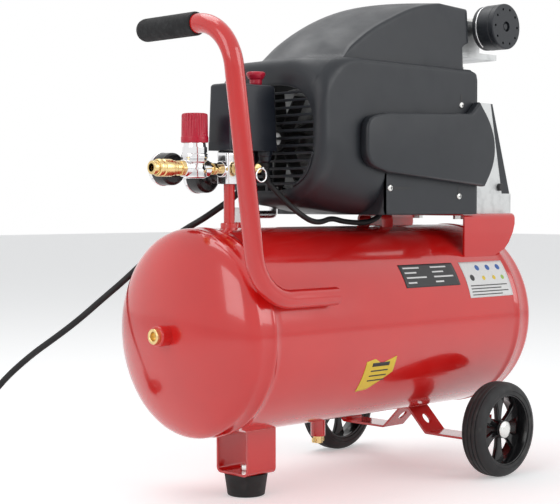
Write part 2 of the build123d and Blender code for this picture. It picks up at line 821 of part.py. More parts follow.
filter_x = crank_x + 35
filter_z = head_z + 32
with BuildPart() as cylinder_head:
    block(crank_x - 50, case_out, -48, 48, plate_z, head_z)
    block(crank_x - 45, crank_x + 45, -45, 45, head_z, head_z + 20)
    for fin in range(6):
        z = head_z + 20 + fin * 4
        block(crank_x - 45, crank_x + 45, -45, 45, z + 1.5, z + 3)
    block(crank_x - 34, crank_x + 45, -45, 36, head_z, head_top)
pieces["cylinder_head"] = cylinder_head

# Pump fasteners: bracket bolts with their heads under the brackets, and head bolts.
with BuildPart() as pump_bolts:
    for x, y in [(front_bracket_x, 0), *rear_bolts]:
        with BuildSketch(level(pump_z - strap_thick - 5)):
            with Locations((x, y)):
                RegularPolygon(7.5, 6)
        extrude(amount=5)
        pillar(x, y, pump_z - strap_thick, bolt_r, 18)
    for x in (crank_x - 28, crank_x + 36):
        for y in (-36, 28):
            with BuildSketch(level(head_top)):
                with Locations((x, y)):
                    RegularPolygon(6.5, 6)
            extrude(amount=5)
pieces["pump_bolts"] = pump_bolts

# ---------------------------------------------------------------- motor
stator_in = tank_x - 45
stator_out = tank_x + 65
shield_in = stator_in - 30
stator_r = stator_d / 2
rotor_r = rotor_d / 2
with BuildPart() as stator:
    block(foot_lug_x - 10, foot_lug_x + 42, -52, 52, pump_z, foot_lug_z + 4)
    block(foot_lug_x, front_bracket_x + front_bracket_width / 2, -22, 22, pump_z, pump_z + 14)
    bar_x(stator_in, 0, shaft_z, stator_r, stator_out - stator_in)
    for way in (-1, 1):
        bar_y(foot_lug_x, max(way * inner_half, way * 40), foot_lug_z, 6, inner_half - 40)
    bar_x(stator_in, 0, shaft_z, rotor_r + air_gap, 200, mode=Mode.SUBTRACT)
    for way in (-1, 1):
        bar_y(foot_lug_x, way * inner_half + 12, foot_lug_z, screw_r, 24, mode=Mode.SUBTRACT)
    pillar(front_bracket_x, 0, pump_z - 1, bolt_r, 20, mode=Mode.SUBTRACT)
pieces["stator"] = stator

with BuildPart() as motor_shields:
    bar_x(shield_in, 0, shaft_z, stator_r, stator_in - shield_in)
    bar_x(shield_in + 10, 0, shaft_z, stator_r - 5, 60, mode=Mode.SUBTRACT)
    bar_x(shield_in, 0, shaft_z, bearing_r + 6, 14)
    bar_x(shield_in - 1, 0, shaft_z, bearing_r, 40, mode=Mode.SUBTRACT)
    bar_x(stator_out, 0, shaft_z, stator_r, case_in - stator_out, stator_r - 5)
    block(stator_out + 25, case_in - 20, -80, 80, shaft_z - 18, shaft_z + 18, mode=Mode.SUBTRACT)
pieces["motor_shields"] = motor_shields

with BuildPart() as bearings:
    for x in (shield_in, case_in):
        bar_x(x, 0, shaft_z, bearing_r, bearing_w, shaft_r + fit)
pieces["bearings"] = bearings

disc_x = crank_x - 24
rod_half = 5.0
pin_z = shaft_z + stroke / 2
fan_x = shield_in - 33
with BuildPart() as crankshaft:
    bar_x(fan_x, 0, shaft_z, shaft_r, disc_x - fan_x)
    bar_x(disc_x, 0, shaft_z, 34, 15)
    bar_x(disc_x + 15, 0, pin_z, 6, crank_x - rod_half - disc_x - 15 - 0.4)
pieces["crankshaft"] = crankshaft

with BuildPart() as rotor:
    bar_x(stator_in + 5, 0, shaft_z, rotor_r, stator_out - stator_in - 10, shaft_r)
pieces["rotor"] = rotor

with BuildPart() as cooling_fan:
    bar_x(fan_x, 0, shaft_z, 16, 24)
    with BuildSketch(end(fan_x + 2)):
        with Locations((0, shaft_z)):
            with PolarLocations(0, 9):
                with Locations((37, 0)):
                    Rectangle(46, 2.5)
    extrude(amount=20)
    bar_x(fan_x - 1, 0, shaft_z, shaft_r, 30, mode=Mode.SUBTRACT)
pieces["cooling_fan"] = cooling_fan

piston_top = plate_z - 1
with BuildPart() as piston:
    pillar(crank_x, 0, piston_top - 24, bore_d / 2 - fit, 24)
    block(crank_x - rod_half, crank_x + rod_half, -7, 7, pin_z, piston_top - 20)
    bar_x(crank_x - rod_half, 0, pin_z, 13, 2 * rod_half)
    bar_x(crank_x - rod_half, 0, pin_z, 6.2, 2 * rod_half, mode=Mode.SUBTRACT)
pieces["piston"] = piston

# Discharge pipe: from the check valve along under the drum, then up to the cylinder head.
pipe_y = 78.0
pipe_x = tank_x + 115
pipe_route = [
    (check_x + 14, check_y, valve_mid),
    (tank_x - 86, check_y, valve_mid),
    (tank_x - 40, pipe_y, pump_z + 6),
    (tank_x - 22, pipe_y, pump_z + 54),
    (pipe_x, pipe_y, pump_z + 54),
    (pipe_x, pipe_y, head_z + 22),
    (pipe_x, 20, head_z + 22),
    (crank_x - 45, 20, head_z + 22),
]
with BuildPart() as discharge_pipe:
    with BuildLine() as pipe_line:
        FilletPolyline(*pipe_route, radius=16)
    with BuildSketch(Plane(origin=pipe_line.line @ 0, z_dir=pipe_line.line % 0)):
        Circle(pipe_d / 2)
    sweep()
pieces["discharge_pipe"] = discharge_pipe

# ---------------------------------------------------------------- shroud
def at(x, z):
    """A point of the shroud's side view, from the tank's middle and the pump's seat."""
    return (tank_x + x, pump_z + z)


drum_back = -13.0
skirt_low = pump_z - 1
front_face = tank_x - 126
side_edge = tank_x + 172


def shroud_mass(inset):
    """The shroud's outer shape, or the same shape smaller by inset all round."""
    with BuildPart() as mass:
        with BuildSketch(side(shroud_half - inset)):
            with BuildLine():
                Polyline(
                    at(115, 281), at(168, 277.5), at(168, 226), at(155, 222), at(155, 190),
                    (side_edge, pump_z + 189), (side_edge, skirt_low),
                    (tank_x + drum_back, skirt_low), at(-118, 11),
                    (front_face, pump_z + 30), (front_face, pump_z + 170), at(-119, 188),
                )
                ThreePointArc(at(-119, 188), at(-12, 255), at(115, 281))
            make_face()
            if inset:
                offset(amount=-inset, kind=Kind.INTERSECTION)
        extrude(amount=2 * (shroud_half - inset))
        with BuildSketch(end(front_face - 10)):
            with Locations((0, shaft_z - 100)):
                Rectangle(shroud_width + 20, 200)
            with Locations((0, shaft_z)):
                Circle(shroud_half - inset, mode=Mode.SUBTRACT)
        extrude(amount=tank_x + drum_back - 40 - front_face + 10, mode=Mode.SUBTRACT)
    return mass.part


grille_z = shaft_z - 1
grille_half_h = 72.0
grille_half_w = 76.0
slot_pitch = 9.0
pad_out = 13.0
with BuildPart() as shroud:
    add(shroud_mass(0))
    for way in (-1, 1):
        with BuildSketch(side(max(way * shroud_half, way * (shroud_half + pad_out)))):
            with BuildLine():
                Polyline(at(-26, 125), at(146, 132), at(163, 148))
                ThreePointArc(at(163, 148), at(196, 90), at(174, 36))
                Line(at(174, 36), at(-29, 54))
                ThreePointArc(at(-29, 54), at(-59, 90), at(-26, 125))
            make_face()
        extrude(amount=pad_out)
    add(shroud_mass(shroud_wall), mode=Mode.SUBTRACT)
    block(tank_x - 60, tank_x + 220, -inner_half, inner_half, skirt_low - 20, skirt_low + 10, mode=Mode.SUBTRACT)
    block(tank_x + 148, tank_x + 220, -inner_half, inner_half, skirt_low - 5, pump_z + 272, mode=Mode.SUBTRACT)
    for slot in range(14):
        z = grille_z + (slot - 6.5) * slot_pitch
        wide = grille_half_w * sqrt(1 - ((z - grille_z) / grille_half_h) ** 2)
        for y0, y1 in ((-wide, -2.5), (2.5, wide)):
            block(front_face - 5, front_face + 12, y0, y1, z - 2.4, z + 2.4, mode=Mode.SUBTRACT)
    for x, z, way in screw_places:
        bar_y(x, way * shroud_half + 12, z, screw_r + 0.2, 24, mode=Mode.SUBTRACT)
pieces["shroud"] = shroud

with BuildPart() as shroud_screws:
    for x, z, way in screw_places:
        outer = way * (shroud_half + 2.5)
        bar_y(x, max(way * shroud_half, outer), z, 4.5, 2.5)
        bar_y(x, max(way * shroud_half, way * (shroud_half - 14)), z, screw_r, 14)
pieces["shroud_screws"] = shroud_screws

# ---------------------------------------------------------------- air filter
filter_r = filter_d / 2
filter_in = -60.0
cap_depth = 8.0
filter_face = filter_in - filter_length
with BuildPart() as filter_housing:
    bar_y(filter_x, filter_in, filter_z, filter_r, filter_length - cap_depth)
    fillet(filter_housing.faces().sort_by(Axis.Y)[-1].edges(), 4)
    bar_y(filter_x, -45, filter_z, 7, 16)
    bar_y(filter_x, filter_in - 4, filter_z, filter_r - 4, filter_length, mode=Mode.SUBTRACT)
pieces["filter_housing"] = filter_housing

with BuildPart() as filter_cap:
    bar_y(filter_x, filter_face + cap_depth, filter_z, filter_r, cap_depth)
    fillet(filter_cap.faces().sort_by(Axis.Y)[0].edges(), 2)
    with BuildSketch(side(filter_face + 4)):
        with Locations((filter_x, filter_z)):
            with PolarLocations(filter_r - 7, 10):
                Circle(1.8)
            Circle(7)
    extrude(amount=10, mode=Mode.SUBTRACT)
    bar_y(filter_x, filter_face + 4.5, filter_z, 4, 3)
pieces["filter_cap"] = filter_cap

with BuildPart() as filter_clip:
    with Locations(Plane(origin=(filter_x, filter_in - 10, filter_z), x_dir=(1, 0, 0), z_dir=(0, 1, 0))):
        Torus(filter_r + 1, 1)
pieces["filter_clip"] = filter_clip

# ---------------------------------------------------------------- leads
gland_low = switch_z - gland_drop


def lead(points, diameter):
    """A round lead along straight runs joined by tangent arcs. Returns its length."""
    radii = round_path(points)
    with BuildLine() as line:
        FilletPolyline(*points, radius=radii)
    with BuildSketch(Plane(origin=line.line @ 0, z_dir=line.line % 0)) as section:
        Circle(diameter / 2)
    sweep(section.sketch, path=line.line)
    return line.wires()[0].length, radii


motor_y = -30.0
lead_route = [
    (gland_x, switch_y - 11, gland_low + 8),
    (gland_x, switch_y - 11, gland_low - 20),
    (tank_x - 140, -30, tank_top + 46),
    (tank_x - 127, -42, tank_top + 27),
    (tank_x - 106, -44, tank_top + 14),
    (tank_x - 84, -38, tank_top + 7),
    (tank_x - 60, -31, tank_top + 5.5),
    (tank_x - 38, -28, tank_top + 11),
    (tank_x - 14, -28, tank_top + 5.5),
    (tank_x + 28, motor_y, tank_top + 3.5),
    (tank_x + 56, motor_y, tank_top + 14),
    (tank_x + 58, motor_y, tank_top + 36),
    (tank_x + 58, motor_y, shaft_z - sqrt(stator_r**2 - (motor_y + lead_d / 2) ** 2) - 0.2),
]
with BuildPart() as motor_lead:
    lead_length, _ = lead(lead_route, lead_d)
pieces["motor_lead"] = motor_lead

# The power cord leaves the switch, lies over the tank's shoulder and comes down to the
# floor behind it, where the rest is put away in a coil with the plug on it.
coil_r = 44.0
coil_half = 10.0
coil_low = 0.5
coil_high = 17.0
cord_floor = cord_d / 2
cord_route = [
    (gland_x, switch_y + 11, gland_low + 14),
    (gland_x, switch_y + 11, gland_low - 16),
    (tank_x - 159, 21, tank_top + 38),
    (tank_x - 172, 34, tank_top + 25),
    (tank_x - 186, 51, tank_top + 10),
    (tank_x - 200, 72, tank_top - 4),
    (tank_x - 223, 103, tank_top - 32),
    (tank_x - 248, 128, tank_top - 66),
    (tank_x - 269, 147, tank_top - 90),
    (tank_x - 289, 169, tank_top - 116),
    (tank_x - 306, 193, tank_top - 138),
    (tank_x - 327, 222, tank_top - 163),
    (tank_x - 351, 250, tank_top - 196),
    (tank_x - 368, 270, tank_top - 232),
    (tank_x - 379, 283, tank_top - 265),
    (tank_x - 386, 293, tank_top - 290),
    (tank_x - 392, 305, tank_top - 308),
    (tank_x - 396, 320, tank_top - 320),
    (tank_x - 398, 338, cord_floor),
    (tank_x - 398, 353, cord_floor),
]
coil_join = cord_route[-1][1]
coil_x, coil_y = cord_route[-1][0] - coil_r, coil_join + 38
with BuildPart() as power_cord:
    cord_length, cord_radii = lead(cord_route, cord_d)
pieces["power_cord"] = power_cord
print("cord radii", [round(r, 1) for r in cord_radii])
print("cord tube", round(cord_length, 1), "mm, motor lead", round(lead_length, 1), "mm")

with BuildPart() as cord_coil:
    pillar(coil_x, coil_y, coil_low, coil_r + coil_half, coil_high - coil_low, coil_r - coil_half)
    bar_y(coil_x + coil_r, coil_y, cord_floor, cord_d / 2, coil_y - coil_join)
pieces["cord_coil"] = cord_coil

# The plug lies across the coil, with its tail towards the coil's middle.
plug_r = 18.0
plug_tail = 22.0
plug_shoulder = 4.0
plug_body = 36.0
plug_pin = 19.0
plug_turn = radians(110)
plug_start = Vector(coil_x + 32.7, coil_y + 4, coil_high + plug_r + seat)
plug_way = Vector(cos(plug_turn), sin(plug_turn), 0)


def plug_plane(distance):
    """The plane across the plug at a distance from its tail's end."""
    return Plane(origin=plug_start + plug_way * distance, x_dir=(0, 0, 1), z_dir=plug_way)


with BuildPart() as power_plug:
    for distance, radius in ((0, cord_d / 2 + 1), (plug_tail, cord_d / 2 + 4)):
        with BuildSketch(plug_plane(distance)):
            Circle(radius)
    loft()
    with BuildSketch(plug_plane(plug_tail)):
        Circle(plug_r - 6)
    extrude(amount=plug_shoulder)
    with BuildSketch(plug_plane(plug_tail + plug_shoulder)):
        Circle(plug_r)
    extrude(amount=plug_body)
    with BuildSketch(plug_plane(plug_tail + plug_shoulder + plug_body)):
        with Locations((0, -9.5), (0, 9.5)):
            Circle(2.4)
    extrude(amount=plug_pin)
pieces["power_plug"] = power_plug

os.makedirs("parts", exist_ok=True)
for name, piece in pieces.items():
    piece.part.label = name
    export_step(piece.part, f"parts/{name}.step")
print(len(pieces), "nodes")
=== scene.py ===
"""Wheelbarrow air compressor: finishes, moulded covers, castings and cords, built round the
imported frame. Lengths are in metres, +Z is up and the origin is on the floor."""

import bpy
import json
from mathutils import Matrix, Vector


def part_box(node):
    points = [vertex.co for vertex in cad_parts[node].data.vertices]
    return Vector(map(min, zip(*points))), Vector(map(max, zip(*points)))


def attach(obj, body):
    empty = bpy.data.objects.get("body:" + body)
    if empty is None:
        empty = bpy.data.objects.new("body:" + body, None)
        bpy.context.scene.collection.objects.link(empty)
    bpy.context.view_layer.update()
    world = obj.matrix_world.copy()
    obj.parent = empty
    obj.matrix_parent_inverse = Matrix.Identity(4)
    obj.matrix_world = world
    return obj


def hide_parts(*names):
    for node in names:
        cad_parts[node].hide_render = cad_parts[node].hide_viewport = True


bl_info = {
    "name": "Air compressor pieces",
    "version": (1, 0, 0),
    "blender": (4, 5, 0),
    "location": "3D View > Sidebar > Compressor",
    "description": "Builds the visible pieces and finishes of a wheelbarrow air compressor",
    "category": "Add Mesh",
}

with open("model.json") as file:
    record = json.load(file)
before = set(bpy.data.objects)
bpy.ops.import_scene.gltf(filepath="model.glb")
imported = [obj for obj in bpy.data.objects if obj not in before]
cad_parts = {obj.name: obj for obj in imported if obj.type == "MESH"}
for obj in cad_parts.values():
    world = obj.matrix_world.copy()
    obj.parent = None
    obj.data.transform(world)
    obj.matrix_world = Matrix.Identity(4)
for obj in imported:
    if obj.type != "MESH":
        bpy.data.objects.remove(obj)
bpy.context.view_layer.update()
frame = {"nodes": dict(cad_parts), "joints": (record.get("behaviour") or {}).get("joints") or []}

import json
from math import cos, pi, radians, sin, sqrt

import bmesh
import bpy
import numpy as np
from bpy.props import FloatProperty, FloatVectorProperty, IntProperty, PointerProperty
from mathutils import Vector

MM = 0.001
MAIN = "compressor"
X, Y, Z = np.eye(3)


# ---------------------------------------------------------------- places from the frame
def low(node):
    return np.array(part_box(node)[0])


def high(node):
    return np.array(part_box(node)[1])


def middle(node):
    return (low(node) + high(node)) / 2


joints = {joint["name"]: joint for joint in frame["joints"]}
tank_x = middle("tank_shell")[0]
axis_z = middle("tank_shell")[2]
tank_r = (high("tank_head_front") - low("tank_head_front"))[1] / 2
tank_top = axis_z + tank_r
tank_flange = 18.5 * MM
tube_r = 11 * MM
pump_z = low("crankcase")[2]
shaft_z = joints["crankshaft_spin"]["pos_m"][2]
axle = np.array(joints["wheel_near_spin"]["pos_m"])
post_x = middle("riser_post")[0]
port_z = joints["gauge_pointer_outlet_turn"]["pos_m"][2]
crank_x = middle("piston")[0]
plug_way = np.array([cos(radians(110)), sin(radians(110)), 0])


# ---------------------------------------------------------------- shapes
def unit(vectors):
    return vectors / np.linalg.norm(vectors, axis=-1, keepdims=True)


def grid_faces(rows, cols, wrap):
    """Quads between neighbouring rows and columns of a grid of points."""
    r = np.arange(rows - 1)[:, None] * cols
    c = np.arange(cols if wrap else cols - 1)[None, :]
    n = (c + 1) % cols
    return np.stack([r + c, r + n, r + cols + n, r + cols + c], -1).reshape(-1, 4)


def surface(rows, wrap=True, caps=True):
    """A grid of points, rows by columns, as points and faces. The columns close on
    themselves when wrap is set, and the first and last rows get a flat cap each."""
    count, cols = rows.shape[:2]
    faces = grid_faces(count, cols, wrap).tolist()
    if caps:
        faces += [list(range(cols))[::-1], list(range((count - 1) * cols, count * cols))]
    return rows.reshape(-1, 3), faces


def join(*parts):
    """Several shapes as one."""
    points, faces, start = [], [], 0
    for part_points, part_faces in parts:
        points.append(part_points)
        faces += [[start + i for i in face] for face in part_faces]
        start += len(part_points)
    return np.concatenate(points), faces


def across(axis):
    """Two directions square to an axis and to each other."""
    axis = unit(np.asarray(axis, float))
    first = unit(np.cross(axis, Z if abs(axis[2]) < 0.9 else X))
    return first, np.cross(axis, first)


def lathe(profile, origin, axis, sides=64, caps=True):
    """A profile turned about an axis: each profile point is a distance along the axis and a
    radius, and stands at origin + distance * axis + radius * (cos a, sin a)."""
    profile = np.asarray(profile, float)
    first, second = across(axis)
    angle = np.linspace(0, 2 * pi, sides, endpoint=False)[None, :, None]
    along, radius = profile[:, 0, None, None], np.maximum(profile[:, 1, None, None], 1e-5)
    rows = np.asarray(origin) + along * unit(np.asarray(axis, float))
    rows = rows + radius * (np.cos(angle) * first + np.sin(angle) * second)
    return surface(rows, True, caps)


def turned_ring(profile, origin, axis, sides):
    """A closed profile turned about an axis: the last point of the profile joins its first."""
    points, faces = lathe(profile, origin, axis, sides, caps=False)
    seam = grid_faces(2, sides, True)
    last = (len(profile) - 1) * sides
    return points, faces + np.where(seam >= sides, seam - sides, seam + last).tolist()


def rounded(points, radius, steps=5, closed=False):
    """A polyline with each corner turned into a curve: the corner is cut back by radius on
    both sides, and the two cuts are joined by a quadratic Bezier through the corner."""
    points = np.asarray(points, float)
    count = len(points)
    radii = np.broadcast_to(np.asarray(radius, float), (count,))
    t = np.linspace(0, 1, steps)[:, None]
    out = []
    for i in range(count):
        if not closed and i in (0, count - 1):
            out.append(points[i : i + 1])
            continue
        before, here, after = points[i - 1], points[i], points[(i + 1) % count]
        reach = min(radii[i], np.linalg.norm(here - before) * 0.49, np.linalg.norm(after - here) * 0.49)
        start, end = here + unit(before - here) * reach, here + unit(after - here) * reach
        out.append((1 - t) ** 2 * start + 2 * t * (1 - t) * here + t**2 * end)
    return np.concatenate(out)


def box_outline(half_w, half_h, corner, steps=6):
    """A rectangle with rounded corners, anticlockwise."""
    corners = [(-half_w, -half_h), (half_w, -half_h), (half_w, half_h), (-half_w, half_h)]
    return rounded(corners, corner, steps, closed=True)


def ring_outline(radius, sides=48, turn=0.0):
    angle = np.linspace(0, 2 * pi, sides, endpoint=False) + turn
    return np.stack([np.cos(angle), np.sin(angle)], -1) * radius


def hexagon(flats, corner=0.0008):
    return rounded(ring_outline(flats / sqrt(3), 6), corner, 4, closed=True)


def slab(outline, origin, u, v, depth, edge=0.0006, steps=4):
    """An outline in the plane of u and v, pushed along u x v by depth. Its two rims are
    rounded: at height h from a face the outline moves in by edge * (1 - sqrt(1 - (1 - h/edge)^2))."""
    outline = np.asarray(outline, float)
    ahead = np.roll(outline, -1, 0) - np.roll(outline, 1, 0)
    inward = unit(np.stack([-ahead[:, 1], ahead[:, 0]], -1))
    t = np.linspace(0, pi / 2, steps)
    inset = np.concatenate([edge * (1 - np.sin(t)), edge * (1 - np.cos(t))])
    height = np.concatenate([edge * (1 - np.cos(t)), depth - edge + edge * np.sin(t)])
    flat = outline[None] + inset[:, None, None] * inward[None]
    normal = np.cross(u, v)
    rows = np.asarray(origin) + flat[..., :1] * u + flat[..., 1:] * v + height[:, None, None] * normal
    return surface(rows)


def tube(path, radius, sides=24, reference=None, caps=True):
    """A round bar along a path: each ring stands square to the path's direction, on the two
    directions cross(direction, reference) and its own cross product."""
    path = np.asarray(path, float)
    ahead = unit(np.gradient(path, axis=0))
    reference = np.array([0.3, -0.2, 0.93]) if reference is None else np.asarray(reference, float)
    first = unit(np.cross(ahead, reference))
    second = np.cross(ahead, first)
    angle = np.linspace(0, 2 * pi, sides, endpoint=False)[None, :, None]
    radius = np.broadcast_to(np.asarray(radius, float), (len(path),))[:, None, None]
    rows = path[:, None] + radius * (np.cos(angle) * first[:, None] + np.sin(angle) * second[:, None])
    return surface(rows, True, caps)


def piece(name, shape, material, body=MAIN, replaces=(), crease=32):
    """A shape as an object that rides on a body and stands for CAD nodes."""
    points, faces = shape
    mesh = bpy.data.meshes.new(name)
    mesh.from_pydata(points.tolist(), [], faces)
    work = bmesh.new()
    work.from_mesh(mesh)
    bmesh.ops.remove_doubles(work, verts=work.verts, dist=1e-6)
    bmesh.ops.recalc_face_normals(work, faces=work.faces)
    work.to_mesh(mesh)
    work.free()
    mesh.shade_smooth()
    mesh.set_sharp_from_angle(angle=radians(crease))
    mesh.materials.append(material)
    obj = bpy.data.objects.new(name, mesh)
    bpy.context.scene.collection.objects.link(obj)
    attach(obj, body)
    if replaces:
        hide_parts(*replaces)
    return obj


# ---------------------------------------------------------------- finishes
class Finish:
    """A material and short calls that add its nodes."""

    def __init__(self, name, colour, rough, metal=0.0, coat=0.0, coat_rough=0.05, specular=0.5):
        self.material = bpy.data.materials.new(name)
        self.material.use_nodes = True
        self.tree = self.material.node_tree
        self.shader = self.tree.nodes["Principled BSDF"]
        self.colour = (*colour, 1.0)
        self.set(self.shader, "Base Color", self.colour)
        self.set(self.shader, "Roughness", rough)
        self.set(self.shader, "Metallic", metal)
        self.set(self.shader, "Coat Weight", coat)
        self.set(self.shader, "Coat Roughness", coat_rough)
        self.set(self.shader, "Specular IOR Level", specular)
        self.place = self.tree.nodes.new("ShaderNodeTexCoord").outputs["Object"]
        self.last_bump = None

    def set(self, node, socket, value):
        node.inputs[socket].default_value = value

    def link(self, output, node, socket):
        self.tree.links.new(output, node.inputs[socket])

    def noise(self, scale, detail=4.0, stretch=(1, 1, 1), rough=0.55):
        """Noise over the piece's own space, stretched along the axes."""
        mapping = self.tree.nodes.new("ShaderNodeMapping")
        mapping.inputs["Scale"].default_value = stretch
        self.link(self.place, mapping, "Vector")
        node = self.tree.nodes.new("ShaderNodeTexNoise")
        self.set(node, "Scale", scale)
        self.set(node, "Detail", detail)
        self.set(node, "Roughness", rough)
        self.link(mapping.outputs["Vector"], node, "Vector")
        return node.outputs["Fac"]

    def cells(self, scale):
        node = self.tree.nodes.new("ShaderNodeTexVoronoi")
        self.set(node, "Scale", scale)
        self.link(self.place, node, "Vector")
        return node.outputs["Distance"]

    def band(self, value, from_low, from_high, to_low, to_high):
        """A value mapped from one range to another, held at its ends."""
        node = self.tree.nodes.new("ShaderNodeMapRange")
        for socket, number in zip(("From Min", "From Max", "To Min", "To Max"),
                                  (from_low, from_high, to_low, to_high)):
            self.set(node, socket, number)
        self.link(value, node, "Value")
        return node.outputs["Result"]

    def rough(self, value, least, most):
        self.link(self.band(value, 0.3, 0.7, least, most), self.shader, "Roughness")
        return self

    def mix(self, value, colour, low_at=0.4, high_at=0.7):
        """Mixes a second colour over the present one where the value is high."""
        node = self.tree.nodes.new("ShaderNodeMix")
        node.data_type = "RGBA"
        base = self.shader.inputs["Base Color"]
        if base.is_linked:
            self.tree.links.new(base.links[0].from_socket, node.inputs[6])
        else:
            node.inputs[6].default_value = base.default_value
        node.inputs[7].default_value = (*colour, 1.0)
        self.link(self.band(value, low_at, high_at, 0.0, 1.0), node, "Factor")
        self.tree.links.new(node.outputs[2], base)
        return self

    def bump(self, value, strength, distance):
        node = self.tree.nodes.new("ShaderNodeBump")
        self.set(node, "Strength", strength)
        self.set(node, "Distance", distance)
        self.link(value, node, "Height")
        if self.last_bump:
            self.tree.links.new(self.last_bump, node.inputs["Normal"])
        self.last_bump = node.outputs["Normal"]
        self.tree.links.new(self.last_bump, self.shader.inputs["Normal"])
        return self


def painted(name, colour, deep):
    """Glossy enamel over steel: slight orange peel, uneven depth and a few dull patches."""
    f = Finish(name, colour, 0.16, coat=0.6, coat_rough=0.04, specular=0.6)
    f.mix(f.noise(7, 3), deep, 0.35, 0.9)
    f.rough(f.noise(24, 5), 0.12, 0.24)
    f.bump(f.noise(420, 2), 0.05, 0.0004)
    f.bump(f.noise(9, 2), 0.05, 0.004)
    return f.material


def moulded(name, colour, rough, grain=900, depth=0.18, spread=0.08):
    """Moulded plastic with a fine spark-eroded grain."""
    f = Finish(name, colour, rough, specular=0.45)
    lighter = tuple(c * 1.18 + 0.001 for c in colour)
    f.mix(f.noise(11, 4), lighter, 0.45, 0.8)
    f.rough(f.noise(30, 4), rough - spread, rough + spread)
    f.bump(f.noise(grain, 3), depth, 0.0003)
    return f.material


def metal(name, colour, rough, grain=260, depth=0.1, stretch=(1, 1, 1), dull=None, spread=0.1):
    """Bare or plated metal: its grain is noise, stretched where it was turned or drawn."""
    f = Finish(name, colour, rough, metal=1.0)
    if dull:
        f.mix(f.noise(60, 5), dull, 0.5, 0.85)
    f.rough(f.noise(45, 4, stretch), max(rough - spread, 0.03), rough + spread)
    f.bump(f.noise(grain, 4, stretch), depth, 0.0004)
    return f.material


def foam(name, colour):
    f = Finish(name, colour, 0.75, specular=0.3)
    f.mix(f.noise(160, 4), tuple(c * 2.2 for c in colour), 0.5, 0.8)
    f.rough(f.noise(60, 3), 0.62, 0.85)
    f.bump(f.cells(900), 0.5, 0.0005)
    return f.material


def rubber(name, colour, dust=(0.11, 0.108, 0.1), amount=0.85):
    f = Finish(name, colour, 0.6, specular=0.35)
    f.mix(f.noise(35, 6), dust, 0.55, amount + 0.1)
    f.rough(f.noise(50, 4), 0.48, 0.72)
    f.bump(f.noise(700, 4), 0.25, 0.0004)
    return f.material


def printed(name, colour, rough=0.35):
    f = Finish(name, colour, rough)
    f.mix(f.noise(300, 2), tuple(c * 0.93 for c in colour), 0.4, 0.8)
    f.rough(f.noise(80, 2), rough - 0.06, rough + 0.08)
    f.bump(f.noise(600, 2), 0.03, 0.0002)
    return f.material


def clear_glass(name):
    f = Finish(name, (0.96, 0.97, 0.97), 0.05)
    f.set(f.shader, "Transmission Weight", 1.0)
    f.set(f.shader, "IOR", 1.46)
    f.rough(f.noise(40, 3), 0.03, 0.08)
    f.bump(f.noise(30, 2), 0.02, 0.0003)
    return f.material


class CompressorColours(bpy.types.PropertyGroup):
    """The colours that a user would change."""

    enamel: FloatVectorProperty(
        name="Enamel", description="Paint of the tank, brackets and handle",
        subtype="COLOR", size=3, min=0, max=1, default=(0.72, 0.012, 0.010),
    )
    enamel_deep: FloatVectorProperty(
        name="Deep enamel", description="Paint where its coat is thicker",
        subtype="COLOR", size=3, min=0, max=1, default=(0.60, 0.008, 0.008),
    )
    shroud: FloatVectorProperty(
        name="Shroud", description="Plastic of the shroud and air filter",
        subtype="COLOR", size=3, min=0, max=1, default=(0.016, 0.019, 0.024),
    )
    switch: FloatVectorProperty(
        name="Switch", description="Plastic of the pressure switch",
        subtype="COLOR", size=3, min=0, max=1, default=(0.008, 0.011, 0.018),
    )
    knob: FloatVectorProperty(
        name="Knob", description="Plastic of the regulator and switch knobs",
        subtype="COLOR", size=3, min=0, max=1, default=(0.55, 0.012, 0.040),
    )


class CompressorSizes(bpy.types.PropertyGroup):
    """The sizes that a user would change."""

    weld_rise: FloatProperty(
        name="Weld rise", description="Height of the tank's weld beads",
        unit="LENGTH", min=0, default=0.001,
    )
    tyre_ribs: IntProperty(name="Tyre ribs", description="Ribs round each tyre", min=1, default=5)
    spokes: IntProperty(name="Spokes", description="Spokes in each wheel", min=3, default=6)
    knob_flutes: IntProperty(name="Knob flutes", description="Flutes round the knob", min=6, default=24)
    louvres: IntProperty(name="Louvres", description="Slots in the shroud's grille", min=2, default=14)


finishes = {}


